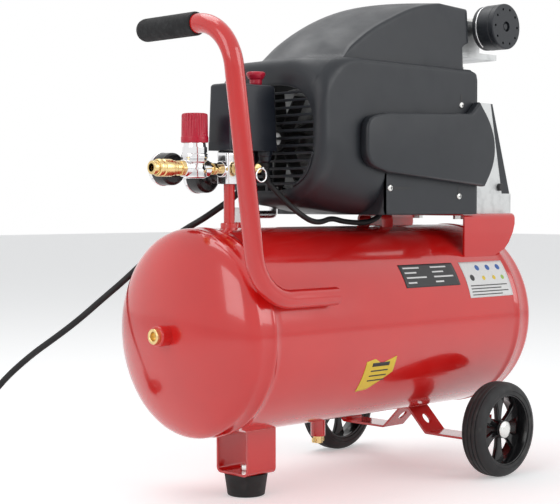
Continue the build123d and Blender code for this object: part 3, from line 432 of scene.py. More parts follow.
def make_finishes(colours):
    """Every material, by a short name."""
    finishes.update(
        red=painted("red_enamel", tuple(colours.enamel), tuple(colours.enamel_deep)),
        shroud=moulded("shroud_plastic", tuple(colours.shroud), 0.42),
        switch=moulded("switch_plastic", tuple(colours.switch), 0.36, 700, 0.1),
        knob=moulded("knob_plastic", tuple(colours.knob), 0.3, 600, 0.06),
        gauge=moulded("gauge_plastic", (0.012, 0.012, 0.013), 0.28, 800, 0.06),
        hub=moulded("hub_plastic", (0.008, 0.008, 0.009), 0.16, 500, 0.05, 0.05),
        fan=moulded("fan_plastic", (0.05, 0.05, 0.05), 0.5),
        zinc=metal("zinc_plate", (0.74, 0.74, 0.72), 0.28, 300, 0.08, dull=(0.55, 0.55, 0.52)),
        chrome=metal("chrome_plate", (0.83, 0.83, 0.84), 0.1, 200, 0.05, spread=0.05,
                     dull=(0.62, 0.6, 0.6)),
        brass=metal("brass_turned", (0.80, 0.60, 0.28), 0.22, 400, 0.12, (8, 1, 1), (0.62, 0.44, 0.2)),
        cast=metal("cast_aluminium", (0.60, 0.61, 0.61), 0.48, 420, 0.5, dull=(0.42, 0.43, 0.43)),
        # the motor is near black as painted shade: it sits in the shade under the shroud
        dark=metal("motor_painted_shade", (0.03, 0.03, 0.032), 0.5, 300, 0.2),
        pipe=metal("pipe_aluminium", (0.8, 0.8, 0.8), 0.34, 300, 0.15),
        steel=metal("machined_steel", (0.50, 0.50, 0.50), 0.35, 500, 0.2, (6, 1, 1), (0.36, 0.35, 0.33)),
        tyre=rubber("tyre_rubber", (0.024, 0.024, 0.025)),
        foot=rubber("foot_rubber", (0.014, 0.014, 0.014), (0.05, 0.05, 0.05)),
        cord=rubber("cord_sheath", (0.012, 0.012, 0.013), (0.035, 0.035, 0.035)),
        foam=foam("grip_foam", (0.016, 0.016, 0.017)),
        dial=printed("dial_print", (0.86, 0.86, 0.83)),
        # black for the real print, and also for the painted shade in the shroud's screw recesses
        ink=printed("black_print_and_shade", (0.018, 0.018, 0.02)),
        white=printed("white_print", (0.84, 0.84, 0.83)),
        yellow=printed("yellow_print", (0.86, 0.62, 0.05)),
        blue=printed("blue_print", (0.03, 0.12, 0.42)),
        green=printed("green_print", (0.35, 0.55, 0.08)),
        glass=clear_glass("clear_glass"),
    )


NODE_FINISH = {
    "red": "tank_shell tank_head_front tank_head_rear tank_sockets foot_bracket axle_bracket"
    " handle_tube pump_bracket_front pump_bracket_rear riser_post",
    "zinc": "chassis_fasteners pump_bolts shroud_screws",
    "pipe": "discharge_pipe",
    # the stator's near-black finish is painted shade under the shroud
    "dark": "stator",
    "foot": "rubber_foot",
    "tyre": "tyre_near tyre_far",
    "hub": "wheel_hub_near wheel_hub_far",
    "brass": "tank_plug drain_screw regulator_nipple coupler_body coupler_sleeve safety_valve_body",
    "chrome": "manifold regulator_body regulator_bonnet safety_ring filter_clip",
    "knob": "regulator_knob switch_knob",
    "gauge": "gauge_cases gauge_pointer_outlet gauge_pointer_tank",
    "dial": "gauge_dials",
    "glass": "gauge_lenses",
    "switch": "switch_base switch_cover cable_glands",
    "cast": "crankcase cylinder cylinder_head motor_shields piston",
    "steel": "bearings crankshaft rotor check_valve",
    "fan": "cooling_fan",
    "shroud": "shroud filter_housing filter_cap crankcase_cover",
    "cord": "motor_lead power_cord cord_coil power_plug",
    "foam": "handle_grip",
}


class COMPRESSOR_OT_finishes(bpy.types.Operator):
    """Make the finishes and give every CAD node its own"""

    bl_idname = "compressor.finishes"
    bl_label = "Finishes"

    def execute(self, context):
        make_finishes(context.scene.compressor_colours)
        for finish, names in NODE_FINISH.items():
            for name in names.split():
                mesh = frame["nodes"][name].data
                mesh.materials.clear()
                mesh.materials.append(finishes[finish])
        return {"FINISHED"}


# ---------------------------------------------------------------- tank
def near_side(x, degrees, lift=0.0):
    """A point on the tank's near side at an angle above the horizontal."""
    angle = np.radians(degrees)
    radius = tank_r + lift
    x, angle = np.broadcast_arrays(x, angle)
    return np.stack([x, -radius * np.cos(angle), axis_z + radius * np.sin(angle)], -1)


class COMPRESSOR_OT_tank(bpy.types.Operator):
    """Build the tank: a lapped shell between two dished heads, with its weld beads"""

    bl_idname = "compressor.tank"
    bl_label = "Tank"

    def execute(self, context):
        self.body(context.scene.compressor_sizes.weld_rise)
        self.bosses()
        self.plug()
        return {"FINISHED"}

    def body(self, rise):
        front, rear = low("tank_head_front")[0], high("tank_head_rear")[0]
        seams = (high("tank_head_front")[0], low("tank_head_rear")[0])
        depth = seams[0] - tank_flange - front
        t = np.linspace(0.02, 1, 40)
        dome = np.stack([1 - np.cos(t * pi / 2), np.sin(t * pi / 2)], -1) * (depth, tank_r)
        beads = []
        for seam in seams:
            s = np.linspace(-1, 1, 9)
            beads.append(np.stack([seam + s * 3.2 * MM, tank_r + rise * np.sqrt(1 - s**2)], -1))
        left = dome + (front, 0)
        right = (dome * (-1, 1) + (rear, 0))[::-1]
        steps = np.linspace(seams[0] + 0.012, seams[1] - 0.012, 24)
        shell = np.stack([steps, np.full(24, tank_r)], -1)
        profile = np.concatenate([left, beads[0], shell, beads[1], right])
        shape = lathe(profile, (0, 0, axis_z), X, 160)
        piece("tank_body", shape, finishes["red"],
              replaces=("tank_shell", "tank_head_front", "tank_head_rear"), crease=40)

    def bosses(self):
        boss = rounded([(-0.004, 0.012), (0.02, 0.0125), (0.0225, 0.0118), (0.0225, 0.0088),
                        (0.016, 0.0085)], 0.0012)
        inner = low("tank_sockets")[0] + 0.0225
        parts = [lathe(boss, (inner, 0, axis_z), -X, 64)]
        drain = middle("drain_screw")
        drain_low = low("tank_sockets")[2]
        parts.append(lathe(rounded([(0, 0.0041), (0, 0.0095), (0.026, 0.0095), (0.026, 0.004)], 0.0008),
                           (drain[0], 0, drain_low), Z, 48))
        collar = rounded([(-0.006, 0.0107), (0.005, 0.0107), (0.0058, 0.0098), (0.006, 0.007)], 0.0008)
        parts.append(lathe(collar, (post_x, 0, tank_top), Z, 48))
        parts.append(lathe(rounded([(-0.008, 0.012), (0.008, 0.012), (0.008, 0.008)], 0.0008),
                           (low("check_valve")[0] + 0.012, 0.03, high("tank_sockets")[2] - 0.008), Z, 48))
        piece("tank_bosses", join(*parts), finishes["red"], replaces=("tank_sockets",))

    def plug(self):
        mouth = low("tank_sockets")[0]
        ring = rounded([(-0.003, 0.005), (0.0045, 0.0052), (0.0052, 0.0078), (0.0045, 0.0092),
                        (-0.001, 0.0092)], 0.0012)
        piece("boss_plug", lathe(ring, (mouth, 0, axis_z), -X, 48), finishes["brass"],
              replaces=("tank_plug",))


def tank_patch(x0, x1, low_deg, high_deg, lift, cols=24, rows=16, top=None, bottom=None):
    """A printed film on the tank: a grid in length and angle, lifted off the paint, whose
    lower and upper edges may follow functions of the share along it."""
    s = np.linspace(0, 1, cols)[None, :]
    t = np.linspace(0, 1, rows)[:, None]
    lower = low_deg + (bottom(s) if bottom else 0.0)
    upper = high_deg + (top(s) if top else 0.0)
    points = near_side(x0 + (x1 - x0) * s + 0 * t, lower + (upper - lower) * t, lift)
    return surface(points, wrap=False, caps=False)


class COMPRESSOR_OT_labels(bpy.types.Operator):
    """Build the films on the tank, which carry plain bars and dots"""

    bl_idname = "compressor.labels"
    bl_label = "Labels"

    def execute(self, context):
        def film(name, shape, finish):
            obj = piece(name, shape, finishes[finish])
            wall = obj.modifiers.new("film", "SOLIDIFY")
            wall.thickness = 0.00015
            wall.offset = 0

        at = lambda millimetres: tank_x + millimetres * MM
        film("rating_plate", tank_patch(at(7.5), at(114.6), 22.5, 37.5, 0.0003), "ink")
        bars = []
        for row, share in enumerate((0.42, 0.30, 0.52, 0.22)):
            for start in (0.06, 0.56):
                x0 = 7.5 + 107 * start
                bars.append(tank_patch(at(x0), at(x0 + 107 * share * 0.7), 34.6 - row * 3.2,
                                       35.6 - row * 3.2, 0.0005, 12, 3))
        film("rating_bars", join(*bars), "white")
        film("notice_film", tank_patch(at(129), at(221), 13.9, 37.5, 0.0003), "white")
        dots = {"blue": ((0.36, 33, 4.2), (0.60, 33, 4.2), (0.84, 33, 4.2)),
                "yellow": ((0.42, 26, 3.2), (0.66, 26, 3.2)), "green": ((0.86, 26, 3.2),),
                "ink": ((0.16, 26.5, 4.4),)}
        for colour, spots in dots.items():
            discs = []
            for share, degrees, radius in spots:
                t = np.linspace(0, 1, 6)[:, None]
                a = np.linspace(0, 2 * pi, 32, endpoint=False)[None, :]
                reach = radius * MM * (1 - t)
                points = near_side(at(129 + 92 * share) + reach * np.cos(a),
                                   degrees + np.degrees(reach * np.sin(a) / tank_r), 0.0005)
                discs.append(surface(points, True, False))
            film(f"notice_dots_{colour}", join(*discs), colour)
        lines = [tank_patch(at(135), at(213 - 14 * (row % 2)), 21.0 - row * 1.9, 21.6 - row * 1.9,
                            0.0005, 12, 2)
                 for row in range(4)]
        film("notice_lines", join(*lines), "ink")
        torn_top = lambda s: np.interp(s, (0, 0.28, 0.52, 1), (0, 2.5, 0.2, 6.0)) - 4.0 * (s - 0.5)
        torn_low = lambda s: np.interp(s, (0, 0.35, 0.7, 1), (0, 1.0, 7.0, 12.0))
        film("torn_sticker", tank_patch(at(-70), at(-16), -38, -20, 0.0003, 32, 20, torn_top, torn_low),
             "yellow")
        words = [tank_patch(at(-58), at(-27), -21.4 - row * 3.2,
                            -20.0 - row * 3.2 + (0.9 if row == 0 else -0.6), 0.0005, 12, 3)
                 for row in range(4)]
        film("sticker_bars", join(*words), "ink")
        return {"FINISHED"}


# ---------------------------------------------------------------- shroud
shroud_face = low("shroud")[0]
hood_end = tank_x + 168 * MM
side_end = tank_x + 172 * MM
half_width = 97 * MM
crease_z = pump_z + 192 * MM
skirt_low = pump_z - 1 * MM
skirt_x = tank_x - 13 * MM
hood_half = 86 * MM
edge_r = 13 * MM
grille_half = np.array([82, 65]) * MM


def circle_through(a, b, c):
    """Centre and radius of the circle through three points of a plane."""
    matrix = 2 * np.array([b - a, c - a])
    centre = np.linalg.solve(matrix, [b @ b - a @ a, c @ c - a @ a])
    return centre, np.linalg.norm(a - centre)


def smooth_max(a, b, soft):
    return (a + b + np.sqrt((a - b) ** 2 + soft**2)) / 2


def crown_height(x):
    """The roof's height along the middle: one arc, then a straight fall to the back."""
    marks = np.array([[-119, 188], [-12, 255], [115, 281]]) * MM
    centre, radius = circle_through(*marks)
    along = x - tank_x
    arc = centre[1] + np.sqrt(np.maximum(radius**2 - (along - centre[0]) ** 2, 0))
    fall = 281 * MM - (along - 115 * MM) * 5 / 75
    return pump_z + np.where(along < 115 * MM, arc, fall)


def shoulder_radius(x):
    """The upper corner's radius: the front is round, the back nearly square."""
    t = np.clip((x - shroud_face) / (64 * MM), 0, 1)
    return (7 + 62 * (1 - t) ** 2.2) * MM


def body_top(w, x):
    """Height of the lower body's top at half width w."""
    r = shoulder_radius(x)
    past = np.clip(w - (half_width - r), 0, r)
    return crease_z - r + np.sqrt(r**2 - past**2)


def hood_top(w, x, far):
    """Height of the hood's roof at half width w: the crown less a share of its fall, which
    is larger on the far side."""
    places = np.array([-126, -100, -75, -30, 16, 64, 115, 190]) * MM
    fall = np.interp(x - tank_x, places, np.array([70, 45, 28, 23, 19, 11, 5, 3]) * MM)
    extra = np.interp(x - tank_x, places, np.array([30, 30, 30, 26, 16, 9, 4, 2]) * MM)
    return crown_height(x) - (fall + far * extra) * (np.abs(w) / hood_half) ** 2.2


def side_rear(z):
    """Where the side panel ends at a height: its top corner is round."""
    past = np.clip(z - (crease_z - 13 * MM), 0, 10 * MM)
    return side_end - 10 * MM + np.sqrt((10 * MM) ** 2 - past**2)


def hood_rear(z):
    """Where the hood ends at a height: its wing is cut back under the filter."""
    return hood_end - 13 * MM * np.clip((pump_z + 227 * MM - z) / (3 * MM), 0, 1)


def trimmed(x, end):
    """Stations near the back, drawn in so that the last one stands at the given end."""
    share = np.clip((x - skirt_x) / (side_end - skirt_x), 0, 1) ** 3
    return x + (end - side_end) * share


def shroud_half_section(x, far):
    """Half width and height over the upper shroud, as stations by columns: up the side,
    round the shoulder, in over the ledge, up the wing, round its ridge and over the roof to
    the middle."""
    x = x[:, None]
    columns = []
    t = np.linspace(0, 1, 14)
    r = shoulder_radius(x)
    z = shaft_z + (crease_z - r - shaft_z) * t
    columns.append((trimmed(x, side_rear(z)), half_width + 0 * z, z))
    turn = np.arccos(np.clip(1 - (half_width - hood_half - 1.5 * MM) / r, 0, 1)) * np.linspace(0, 1, 12)[1:]
    w, z = half_width - r + r * np.cos(turn), crease_z - r + r * np.sin(turn)
    columns.append((trimmed(x, side_rear(z)), w, z))
    base = body_top(hood_half, x)
    ridge = np.maximum(hood_top(hood_half, x, far), base)
    tall = ridge - base
    soft = np.minimum(5 * MM, tall * 0.45)
    lean = 0.05 * tall
    t = np.linspace(0, 1, 22)
    z = base + (tall - soft) * t
    columns.append((trimmed(x, hood_rear(z)), hood_half - lean * t, z))
    t = np.linspace(0, 1, 7)[1:]
    w_ridge = hood_half - lean
    w_roof = w_ridge - soft
    z_roof = smooth_max(body_top(w_roof, x), hood_top(w_roof, x, far), 2 * MM)
    w = (1 - t**2) * w_ridge + t**2 * w_roof
    z = (1 - t) ** 2 * (ridge - soft) + (2 * t - t**2) * z_roof
    columns.append((trimmed(x, hood_rear(z)), w, z))
    t = np.linspace(0, 1, 26)[1:]
    w = w_roof * (1 - t)
    z = smooth_max(body_top(w, x), hood_top(w, x, far), 2 * MM)
    columns.append((trimmed(x, hood_rear(z)), w, z))
    return [np.concatenate([np.broadcast_to(part[i], part[2].shape) for part in columns],
                           1) for i in range(3)]


def front_rounding(x, w, z):
    """Moves points near the front face in towards the shaft axis, as a quarter round does:
    by r - sqrt(r^2 - (r - d)^2) at a distance d behind the face."""
    short = np.clip(edge_r - (x - shroud_face), 0, edge_r)
    inset = edge_r - np.sqrt(edge_r**2 - short**2)
    reach = np.hypot(w, z - shaft_z)
    keep = (reach - inset) / np.maximum(reach, 1e-6)
    return np.stack([x, w * keep, shaft_z + (z - shaft_z) * keep], -1)


def stations():
    """Places along the shroud: close together round the front edge, then even, with one
    where the drum ends and the skirts begin."""
    quarter = shroud_face + edge_r * (1 - np.cos(np.linspace(0, pi / 2, 10)))
    drum = np.linspace(quarter[-1], skirt_x, 30)[1:]
    return np.concatenate([quarter, drum, np.linspace(skirt_x, side_end, 40)[1:]])


def other_side(points):
    return points * (1, -1, 1)


def grille_edge(points):
    """The grille's rim in the front face, on the same rays from the shaft axis."""
    offset = points[..., 1:] - (0, shaft_z)
    angle = np.arctan2(offset[..., 1], offset[..., 0])
    across_share = np.abs(np.cos(angle) / grille_half[0]) ** 3
    reach = (across_share + np.abs(np.sin(angle) / grille_half[1]) ** 3) ** (-1 / 3)
    return np.stack([0 * angle + shroud_face, reach * np.cos(angle), shaft_z + reach * np.sin(angle)], -1)


def shroud_shape():
    """The upper body and hood, the belly under the motor, the side skirts and the front."""
    x = stations()
    near = other_side(front_rounding(*shroud_half_section(x, 0.0)))
    far = front_rounding(*shroud_half_section(x, 1.0))
    upper = np.concatenate([near, far[:, -2::-1]], 1)

    drum_x = x[x <= skirt_x + 1e-6][:, None]
    lowest = skirt_low + 12 * MM * (skirt_x - drum_x) / (105 * MM)
    t = np.clip((drum_x - shroud_face) / (skirt_x - shroud_face), 0, 1)
    r = np.minimum((56 + 41 * (1 - t) ** 1.5) * MM, shaft_z - lowest - 1 * MM)
    side_t, turn, in_t = np.linspace(0, 1, 8)[:-1], np.linspace(0, pi / 2, 18), np.linspace(0, 1, 12)[1:]
    w = np.concatenate([half_width + 0 * drum_x * side_t, half_width - r + r * np.cos(turn),
                        (half_width - r) * (1 - in_t)], 1)
    z = np.concatenate([shaft_z - (shaft_z - lowest - r) * side_t, lowest + r - r * np.sin(turn),
                        lowest + 0 * in_t], 1)
    belly = front_rounding(np.broadcast_to(drum_x, w.shape), w, z)
    belly = np.concatenate([other_side(belly), belly[:, -2::-1]], 1)

    sx, sz = np.meshgrid(x[x >= skirt_x - 1e-6], np.linspace(shaft_z, skirt_low, 16), indexing="ij")
    skirts = [np.stack([sx, way * half_width + 0 * sx, sz], -1) for way in (-1, 1)]
    webs = []
    share = np.linspace(0, 1, 4)[:, None, None]
    for way in (-1, 1):
        edge = belly[-1][:25] if way < 0 else belly[-1][-25:]
        panel = edge.copy()
        panel[:, 1] = way * half_width
        webs.append(edge[None] * (1 - share) + panel[None] * share)
    fronts = []
    share = np.linspace(0, 1, 7)[:, None, None]
    for rim in (upper[0], belly[0]):
        fronts.append(rim[None] * (1 - share) + grille_edge(rim)[None] * share)
    return join(*[surface(part, False, False) for part in (upper, belly, *skirts, *webs, *fronts)])


def pad_shape(way):
    """The raised panel over the pump: its outline stands off the side by a rounded rim."""
    at = lambda x, z: (tank_x + x * MM, pump_z + z * MM)
    t = np.linspace(0, 1, 18)[:, None]
    right = np.array([at(163, 148), at(225, 92), at(174, 36)])
    arc = (1 - t) ** 2 * right[0] + 2 * t * (1 - t) * right[1] + t**2 * right[2]
    left = rounded([at(-20, 52), at(-59, 62), at(-59, 120), at(-20, 126)], 34 * MM, 12)
    outline = np.concatenate([rounded([at(-20, 126), at(146, 132), at(163, 148)], 8 * MM, 5)[1:-1], arc,
                              left])
    depth = 13 * MM
    flip = outline[::-1]
    base = np.array([0, way * (half_width - 1 * MM), 0])
    if way < 0:
        return slab(flip, base, X, Z, depth + 1 * MM, 4 * MM, 6)
    return slab(outline * (-1, 1), base, -X, Z, depth + 1 * MM, 4 * MM, 6)


def cross_screw(place, way, radius=4.5 * MM):
    """A pan head screw facing along Y, with two crossed bars over its head where the cross recess is; the
    bars take a dark colour as painted shade in the recess.
    """
    face = np.array([0, way, 0.0])
    head = lathe(rounded([(-0.003, radius * 0.97), (0.0012, radius), (0.0024, radius * 0.6),
                          (0.0027, 0)], 0.001), place, face, 32)
    bars = []
    for turn in (0, 1):
        half_w, half_h = (2.4, 0.45) if turn else (0.45, 2.4)
        flat = box_outline(half_w * MM, half_h * MM, 0.1 * MM, 2)
        u = X * (1 if way < 0 else -1)
        bars.append(slab(flat, place + face * 0.0021, u, Z, 0.0007, 0.0001, 2))
    return head, join(*bars)


class COMPRESSOR_OT_shroud(bpy.types.Operator):
    """Build the pump's moulded shroud with its raised panels, grille and screws"""

    bl_idname = "compressor.shroud"
    bl_label = "Shroud"

    def execute(self, context):
        self.shell()
        self.grille(context.scene.compressor_sizes.louvres)
        self.slots()
        self.screws()
        return {"FINISHED"}

    def shell(self):
        shell = piece("shroud_shell", shroud_shape(), finishes["shroud"],
                      replaces=("shroud",), crease=38)
        wall = shell.modifiers.new("wall", "SOLIDIFY")
        wall.thickness = 2.6 * MM
        wall.offset = -1
        wall.use_even_offset = False
        for name, way in (("near", -1), ("far", 1)):
            piece(f"shroud_pad_{name}", pad_shape(way), finishes["shroud"])

    def grille(self, louvres):
        pitch = 2 * grille_half[1] / louvres
        bars = []
        for slat in range(1, louvres):
            z = -grille_half[1] + slat * pitch
            wide = grille_half[0] * (1 - np.abs(z / grille_half[1]) ** 3) ** (1 / 3) + 1 * MM
            flat = rounded([(0.0015, -0.0012), (0.0105, 0.0008), (0.0105, 0.003), (0.0015, 0.0022)],
                           0.0006, 3, True)
            bars.append(slab(flat, (shroud_face, wide, shaft_z + z - 0.0012), X, Z, 2 * wide, 0.0003, 2))
        rib = box_outline(2.6 * MM, grille_half[1] + 0.5 * MM, 1 * MM, 3)
        bars.append(slab(rib, (shroud_face + 9 * MM, 0, shaft_z), -Y, Z, 8.5 * MM, 0.8 * MM))
        piece("shroud_grille", join(*bars), finishes["shroud"])

    def screws(self):
        heads, slots = [], []
        for x, z in ((-4, 33), (133.5, 23), (138, 143)):
            for way in (-1, 1):
                head, recess_shade_bars = cross_screw(np.array([tank_x + x * MM, way * half_width,
                                                        pump_z + z * MM]), way)
                heads.append(head)
                slots.append(recess_shade_bars)
        piece("shroud_screw_heads", join(*heads), finishes["zinc"], replaces=("shroud_screws",))
        # the crossed bars are black: painted shade that stands for the cross recesses
        piece("shroud_screw_recess_shade", join(*slots), finishes["ink"])

    def slots(self):
        # dark flat marks by the screws: painted shade that stands for the screw recesses in the shroud
        marks = []
        for way in (-1, 1):
            u = X if way < 0 else -X
            y = way * (half_width - 0.2 * MM)
            flip = 1 if way < 0 else -1
            taper = rounded([(6 * flip, -2.6), (41 * flip, -1.0), (41 * flip, 0.6),
                             (6 * flip, 2.2)][::flip], 0.5, 3, True) * MM
            marks.append(slab(taper, (tank_x - 4 * MM, y, pump_z + 33 * MM), u, Z, 0.4 * MM, 0.1 * MM, 2))
            for x, z in ((133.5, 31), (138, 152)):
                keyhole = box_outline(1.6 * MM, 6 * MM, 1.4 * MM, 4)
                marks.append(slab(keyhole, (tank_x + x * MM, y, pump_z + z * MM), u, Z, 0.4 * MM,
                                  0.1 * MM, 2))
        # the marks are black as painted shade in the recesses
        piece("shroud_recess_shade", join(*marks), finishes["ink"])


# ---------------------------------------------------------------- wheels
def wheel_hub(way, spokes):
    """A hub: a rim, tapered spokes with open gaps between them, and a round boss."""
    face = np.array([0, way, 0.0])
    inner, outer = wheel_sides(way)
    centre = np.array([axle[0], inner, axle[2]])
    wide = abs(outer - inner)
    rim = [(0.002, 0.0425), (0.002, 0.0462), (wide - 0.002, 0.0462), (wide - 0.002, 0.0445),
           (wide * 0.5, 0.0405), (0.006, 0.0425)]
    parts = [turned_ring(rounded(rim, 0.0012, 4, True), centre, face, 96)]
    parts.append(lathe(rounded([(-0.008, 0.0065), (-0.008, 0.0125), (wide - 0.009, 0.0115),
                                (wide - 0.008, 0.0065)], 0.001),
                       centre, face, 64))
    for spoke in range(spokes):
        angle = 2 * pi * spoke / spokes + pi / 2
        u = np.array([cos(angle), 0, sin(angle)])
        v = np.cross(face, u)
        flat = rounded([(0.008, -0.0035), (0.026, -0.0055), (0.043, -0.0115), (0.043, 0.0115),
                        (0.026, 0.0055), (0.008, 0.0035)],
                       0.004, 5, True)
        parts.append(slab(flat, centre + face * 0.0125, u, v, 0.0075, 0.0022, 5))
    return join(*parts)


def wheel_sides(way):
    """Where a wheel's tyre begins and ends along Y, from the tank outwards."""
    tyre = "tyre_near" if way < 0 else "tyre_far"
    ends = low(tyre)[1], high(tyre)[1]
    return ends[::-1] if way < 0 else ends


def tyre_shape(way, ribs):
    """A solid tyre: flat tread with ribs between narrow grooves, rounded shoulders, a bead
    line on each wall and a seat for the rim."""
    inner, outer = wheel_sides(way)
    wide, radius = abs(outer - inner), (high("tyre_near") - low("tyre_near"))[2] / 2
    s = np.linspace(-1, 1, 90)
    crown = radius - 0.0045 * np.abs(s) ** 4
    groove = np.abs(np.sin(s * pi * ribs / 2)) ** 14 * (np.abs(s) < 0.86)
    tread = np.stack([wide / 2 + s * (wide / 2 - 0.0022), crown - 0.0017 * groove], -1)
    wall_out = [(wide - 0.0004, radius - 0.0085), (wide, radius - 0.011), (wide - 0.0008, radius - 0.0118),
                (wide - 0.0004, radius - 0.0125), (wide - 0.001, 0.0462)]
    wall_in = [(a * -1 + wide, b) for a, b in wall_out][::-1]
    profile = np.concatenate([wall_in, tread, wall_out])
    return turned_ring(profile, (axle[0], inner, axle[2]), (0, way, 0), 128)


class COMPRESSOR_OT_wheels(bpy.types.Operator):
    """Build both wheels: ribbed tyres on spoked hubs, with the axle caps and nuts"""

    bl_idname = "compressor.wheels"
    bl_label = "Wheels"

    def execute(self, context):
        sizes = context.scene.compressor_sizes
        caps = []
        for name, way in (("near", -1), ("far", 1)):
            body = f"wheel_{name}"
            piece(f"tyre_{name}_ribbed", tyre_shape(way, sizes.tyre_ribs), finishes["tyre"],
                  body, (f"tyre_{name}",), 45)
            piece(f"hub_{name}_spoked", wheel_hub(way, sizes.spokes), finishes["hub"],
                  body, (f"wheel_hub_{name}",), 30)
            outer = low("chassis_fasteners")[1] if way < 0 else high("chassis_fasteners")[1]
            dome = [(-0.0046, 0.0112), (-0.0036, 0.0118), (-0.002, 0.0105), (-0.0003, 0.006), (0, 0)]
            caps.append(lathe(rounded(dome, 0.0015), (axle[0], outer, axle[2]), (0, way, 0), 48))
            stub = [(-0.046, 0.006), (-0.004, 0.006)]
            caps.append(lathe(stub, (axle[0], outer, axle[2]), (0, way, 0), 32))
            flat = hexagon(0.018)
            start = np.array([axle[0], outer - way * 0.048, axle[2]])
            caps.append(slab(flat, start, X * (1 if way < 0 else -1), Z, 0.008, 0.0008))
        foot = middle("rubber_foot")
        caps.append(slab(hexagon(0.013), (foot[0], 0, high("rubber_foot")[2] + 0.003), X, Y, 0.007, 0.0008))
        piece("axle_caps_and_nuts", join(*caps), finishes["zinc"], replaces=("chassis_fasteners",))
        return {"FINISHED"}


# ---------------------------------------------------------------- handle
class COMPRESSOR_OT_handle(bpy.types.Operator):
    """Build the bent handle tube and its foam grip"""

    bl_idname = "compressor.handle"
    bl_label = "Handle"

    def execute(self, context):
        box_low, box_high = low("handle_tube"), high("handle_tube")
        side_y = box_low[1] + tube_r
        top_z = box_high[2] - tube_r
        top_x = box_low[0] + tube_r
        run_z = box_low[2] + tube_r
        corner_x = top_x + (top_z - run_z) * np.tan(radians(8.1))
        corners = [(box_high[0], side_y, run_z), (corner_x, side_y, run_z), (top_x, side_y, top_z),
                   (top_x, high("handle_grip")[1] - 0.004, top_z)]
        path = bend_path(corners, (0.058, 0.050))
        shape = tube(path, tube_r, 32, (1.0, -1.0, 0.45))
        piece("handle_bar", shape, finishes["red"], replaces=("handle_tube",))
        grip = [(-0.0, 0.0112), (0.0, 0.0128), (0.002, 0.0135), (0.09, 0.0135), (0.0955, 0.0115),
                (0.097, 0.006), (0.0972, 0.0)]
        start = np.array([top_x, low("handle_grip")[1], top_z])
        piece("grip_sleeve", lathe(rounded(grip, 0.003), start, Y, 48), finishes["foam"],
              replaces=("handle_grip",), crease=50)
        return {"FINISHED"}


def bend_path(corners, radii, steps=16):
    """Straight runs joined by true arcs: an arc of radius r starts r * tan(turn / 2) before
    its corner, and its points are centre + r * (cos a * -inward + sin a * ahead)."""
    corners = np.asarray(corners, float)
    out = [corners[:1]]
    for before, here, after, radius in zip(corners, corners[1:], corners[2:], radii):
        one, two = unit(here - before), unit(after - here)
        turn = np.arccos(np.clip(one @ two, -1, 1))
        inward = unit(two - one * (one @ two))
        start = here - one * radius * np.tan(turn / 2)
        a = np.linspace(0, turn, steps)[:, None]
        out.append(start + radius * (np.sin(a) * one + (1 - np.cos(a)) * inward))
    out.append(corners[-1:])
    path = np.concatenate(out)
    gaps = np.linalg.norm(np.diff(path, axis=0), axis=1)
    along = np.concatenate([[0], np.cumsum(gaps)])
    even = np.linspace(0, along[-1], int(along[-1] / 0.004) + 2)
    every = np.unique(np.concatenate([even, along]))
    every = every[np.concatenate([[True], np.diff(every) > 2e-4])]
    return np.stack([np.interp(every, along, path[:, i]) for i in range(3)], -1)


# ---------------------------------------------------------------- switch
def tapered_box(lowest, highest, corner, taper, edge):
    """An upright box with rounded corners: its sides lean in by taper over its height, and
    its top rim is rounded by edge."""
    half = (highest - lowest)[:2] / 2
    centre = (highest + lowest)[:2] / 2
    t = np.linspace(0, 1, 12)
    turn = np.linspace(0, pi / 2, 7)[1:]
    inset = np.concatenate([taper * t, taper + edge * (1 - np.cos(turn))])
    z = np.concatenate([lowest[2] + (highest[2] - edge - lowest[2]) * t,
                        highest[2] - edge + edge * np.sin(turn)])
    outline = box_outline(half[0], half[1], corner, 8)
    scale = (half - inset[:, None]) / half
    flat = outline[None] * scale[:, None] + centre
    return surface(np.concatenate([flat, np.broadcast_to(z[:, None, None], (*flat.shape[:2], 1))], -1))


class COMPRESSOR_OT_switch(bpy.types.Operator):
    """Build the pressure switch: cover, push knob and cable glands"""

    bl_idname = "compressor.switch"
    bl_label = "Pressure switch"

    def execute(self, context):
        cover = (low("switch_cover"), high("switch_cover"))
        piece("switch_hood", tapered_box(*cover, 6 * MM, 1.8 * MM, 4 * MM), finishes["switch"],
              replaces=("switch_cover",), crease=50)
        place = middle("switch_knob")
        top = high("switch_knob")[2]
        profile = [(-0.030, 0.004), (-0.0165, 0.004), (-0.0160, 0.0072), (-0.0145, 0.0076),
                   (-0.0095, 0.0076),
                   (-0.0085, 0.0092), (-0.0045, 0.0114), (-0.0015, 0.0117), (-0.0002, 0.0105),
                   (0.0, 0.007), (-0.0004, 0)]
        piece("push_knob", lathe(rounded(profile, 0.0008), (place[0], place[1], top), Z, 48),
              finishes["knob"],
              "switch_knob", ("switch_knob",), 40)
        glands = []
        for way, radius in ((1, 0.0041), (-1, 0.0036)):
            place = np.array([middle("cable_glands")[0], low("switch_base")[1] + 0.022 + way * 0.011,
                              low("switch_base")[2]])
            nut = [(0, 0.0085), (-0.006, 0.0085), (-0.0065, 0.0078), (-0.012, 0.0072), (-0.014, 0.0055),
                   (-0.014, radius)]
            glands.append(lathe(rounded(nut, 0.0008), place, Z, 40))
            glands.append(slab(hexagon(0.0165), place - (0, 0, 0.005), X, Y, 0.005, 0.0006))
        piece("gland_nuts", join(*glands), finishes["switch"], replaces=("cable_glands",))
        return {"FINISHED"}


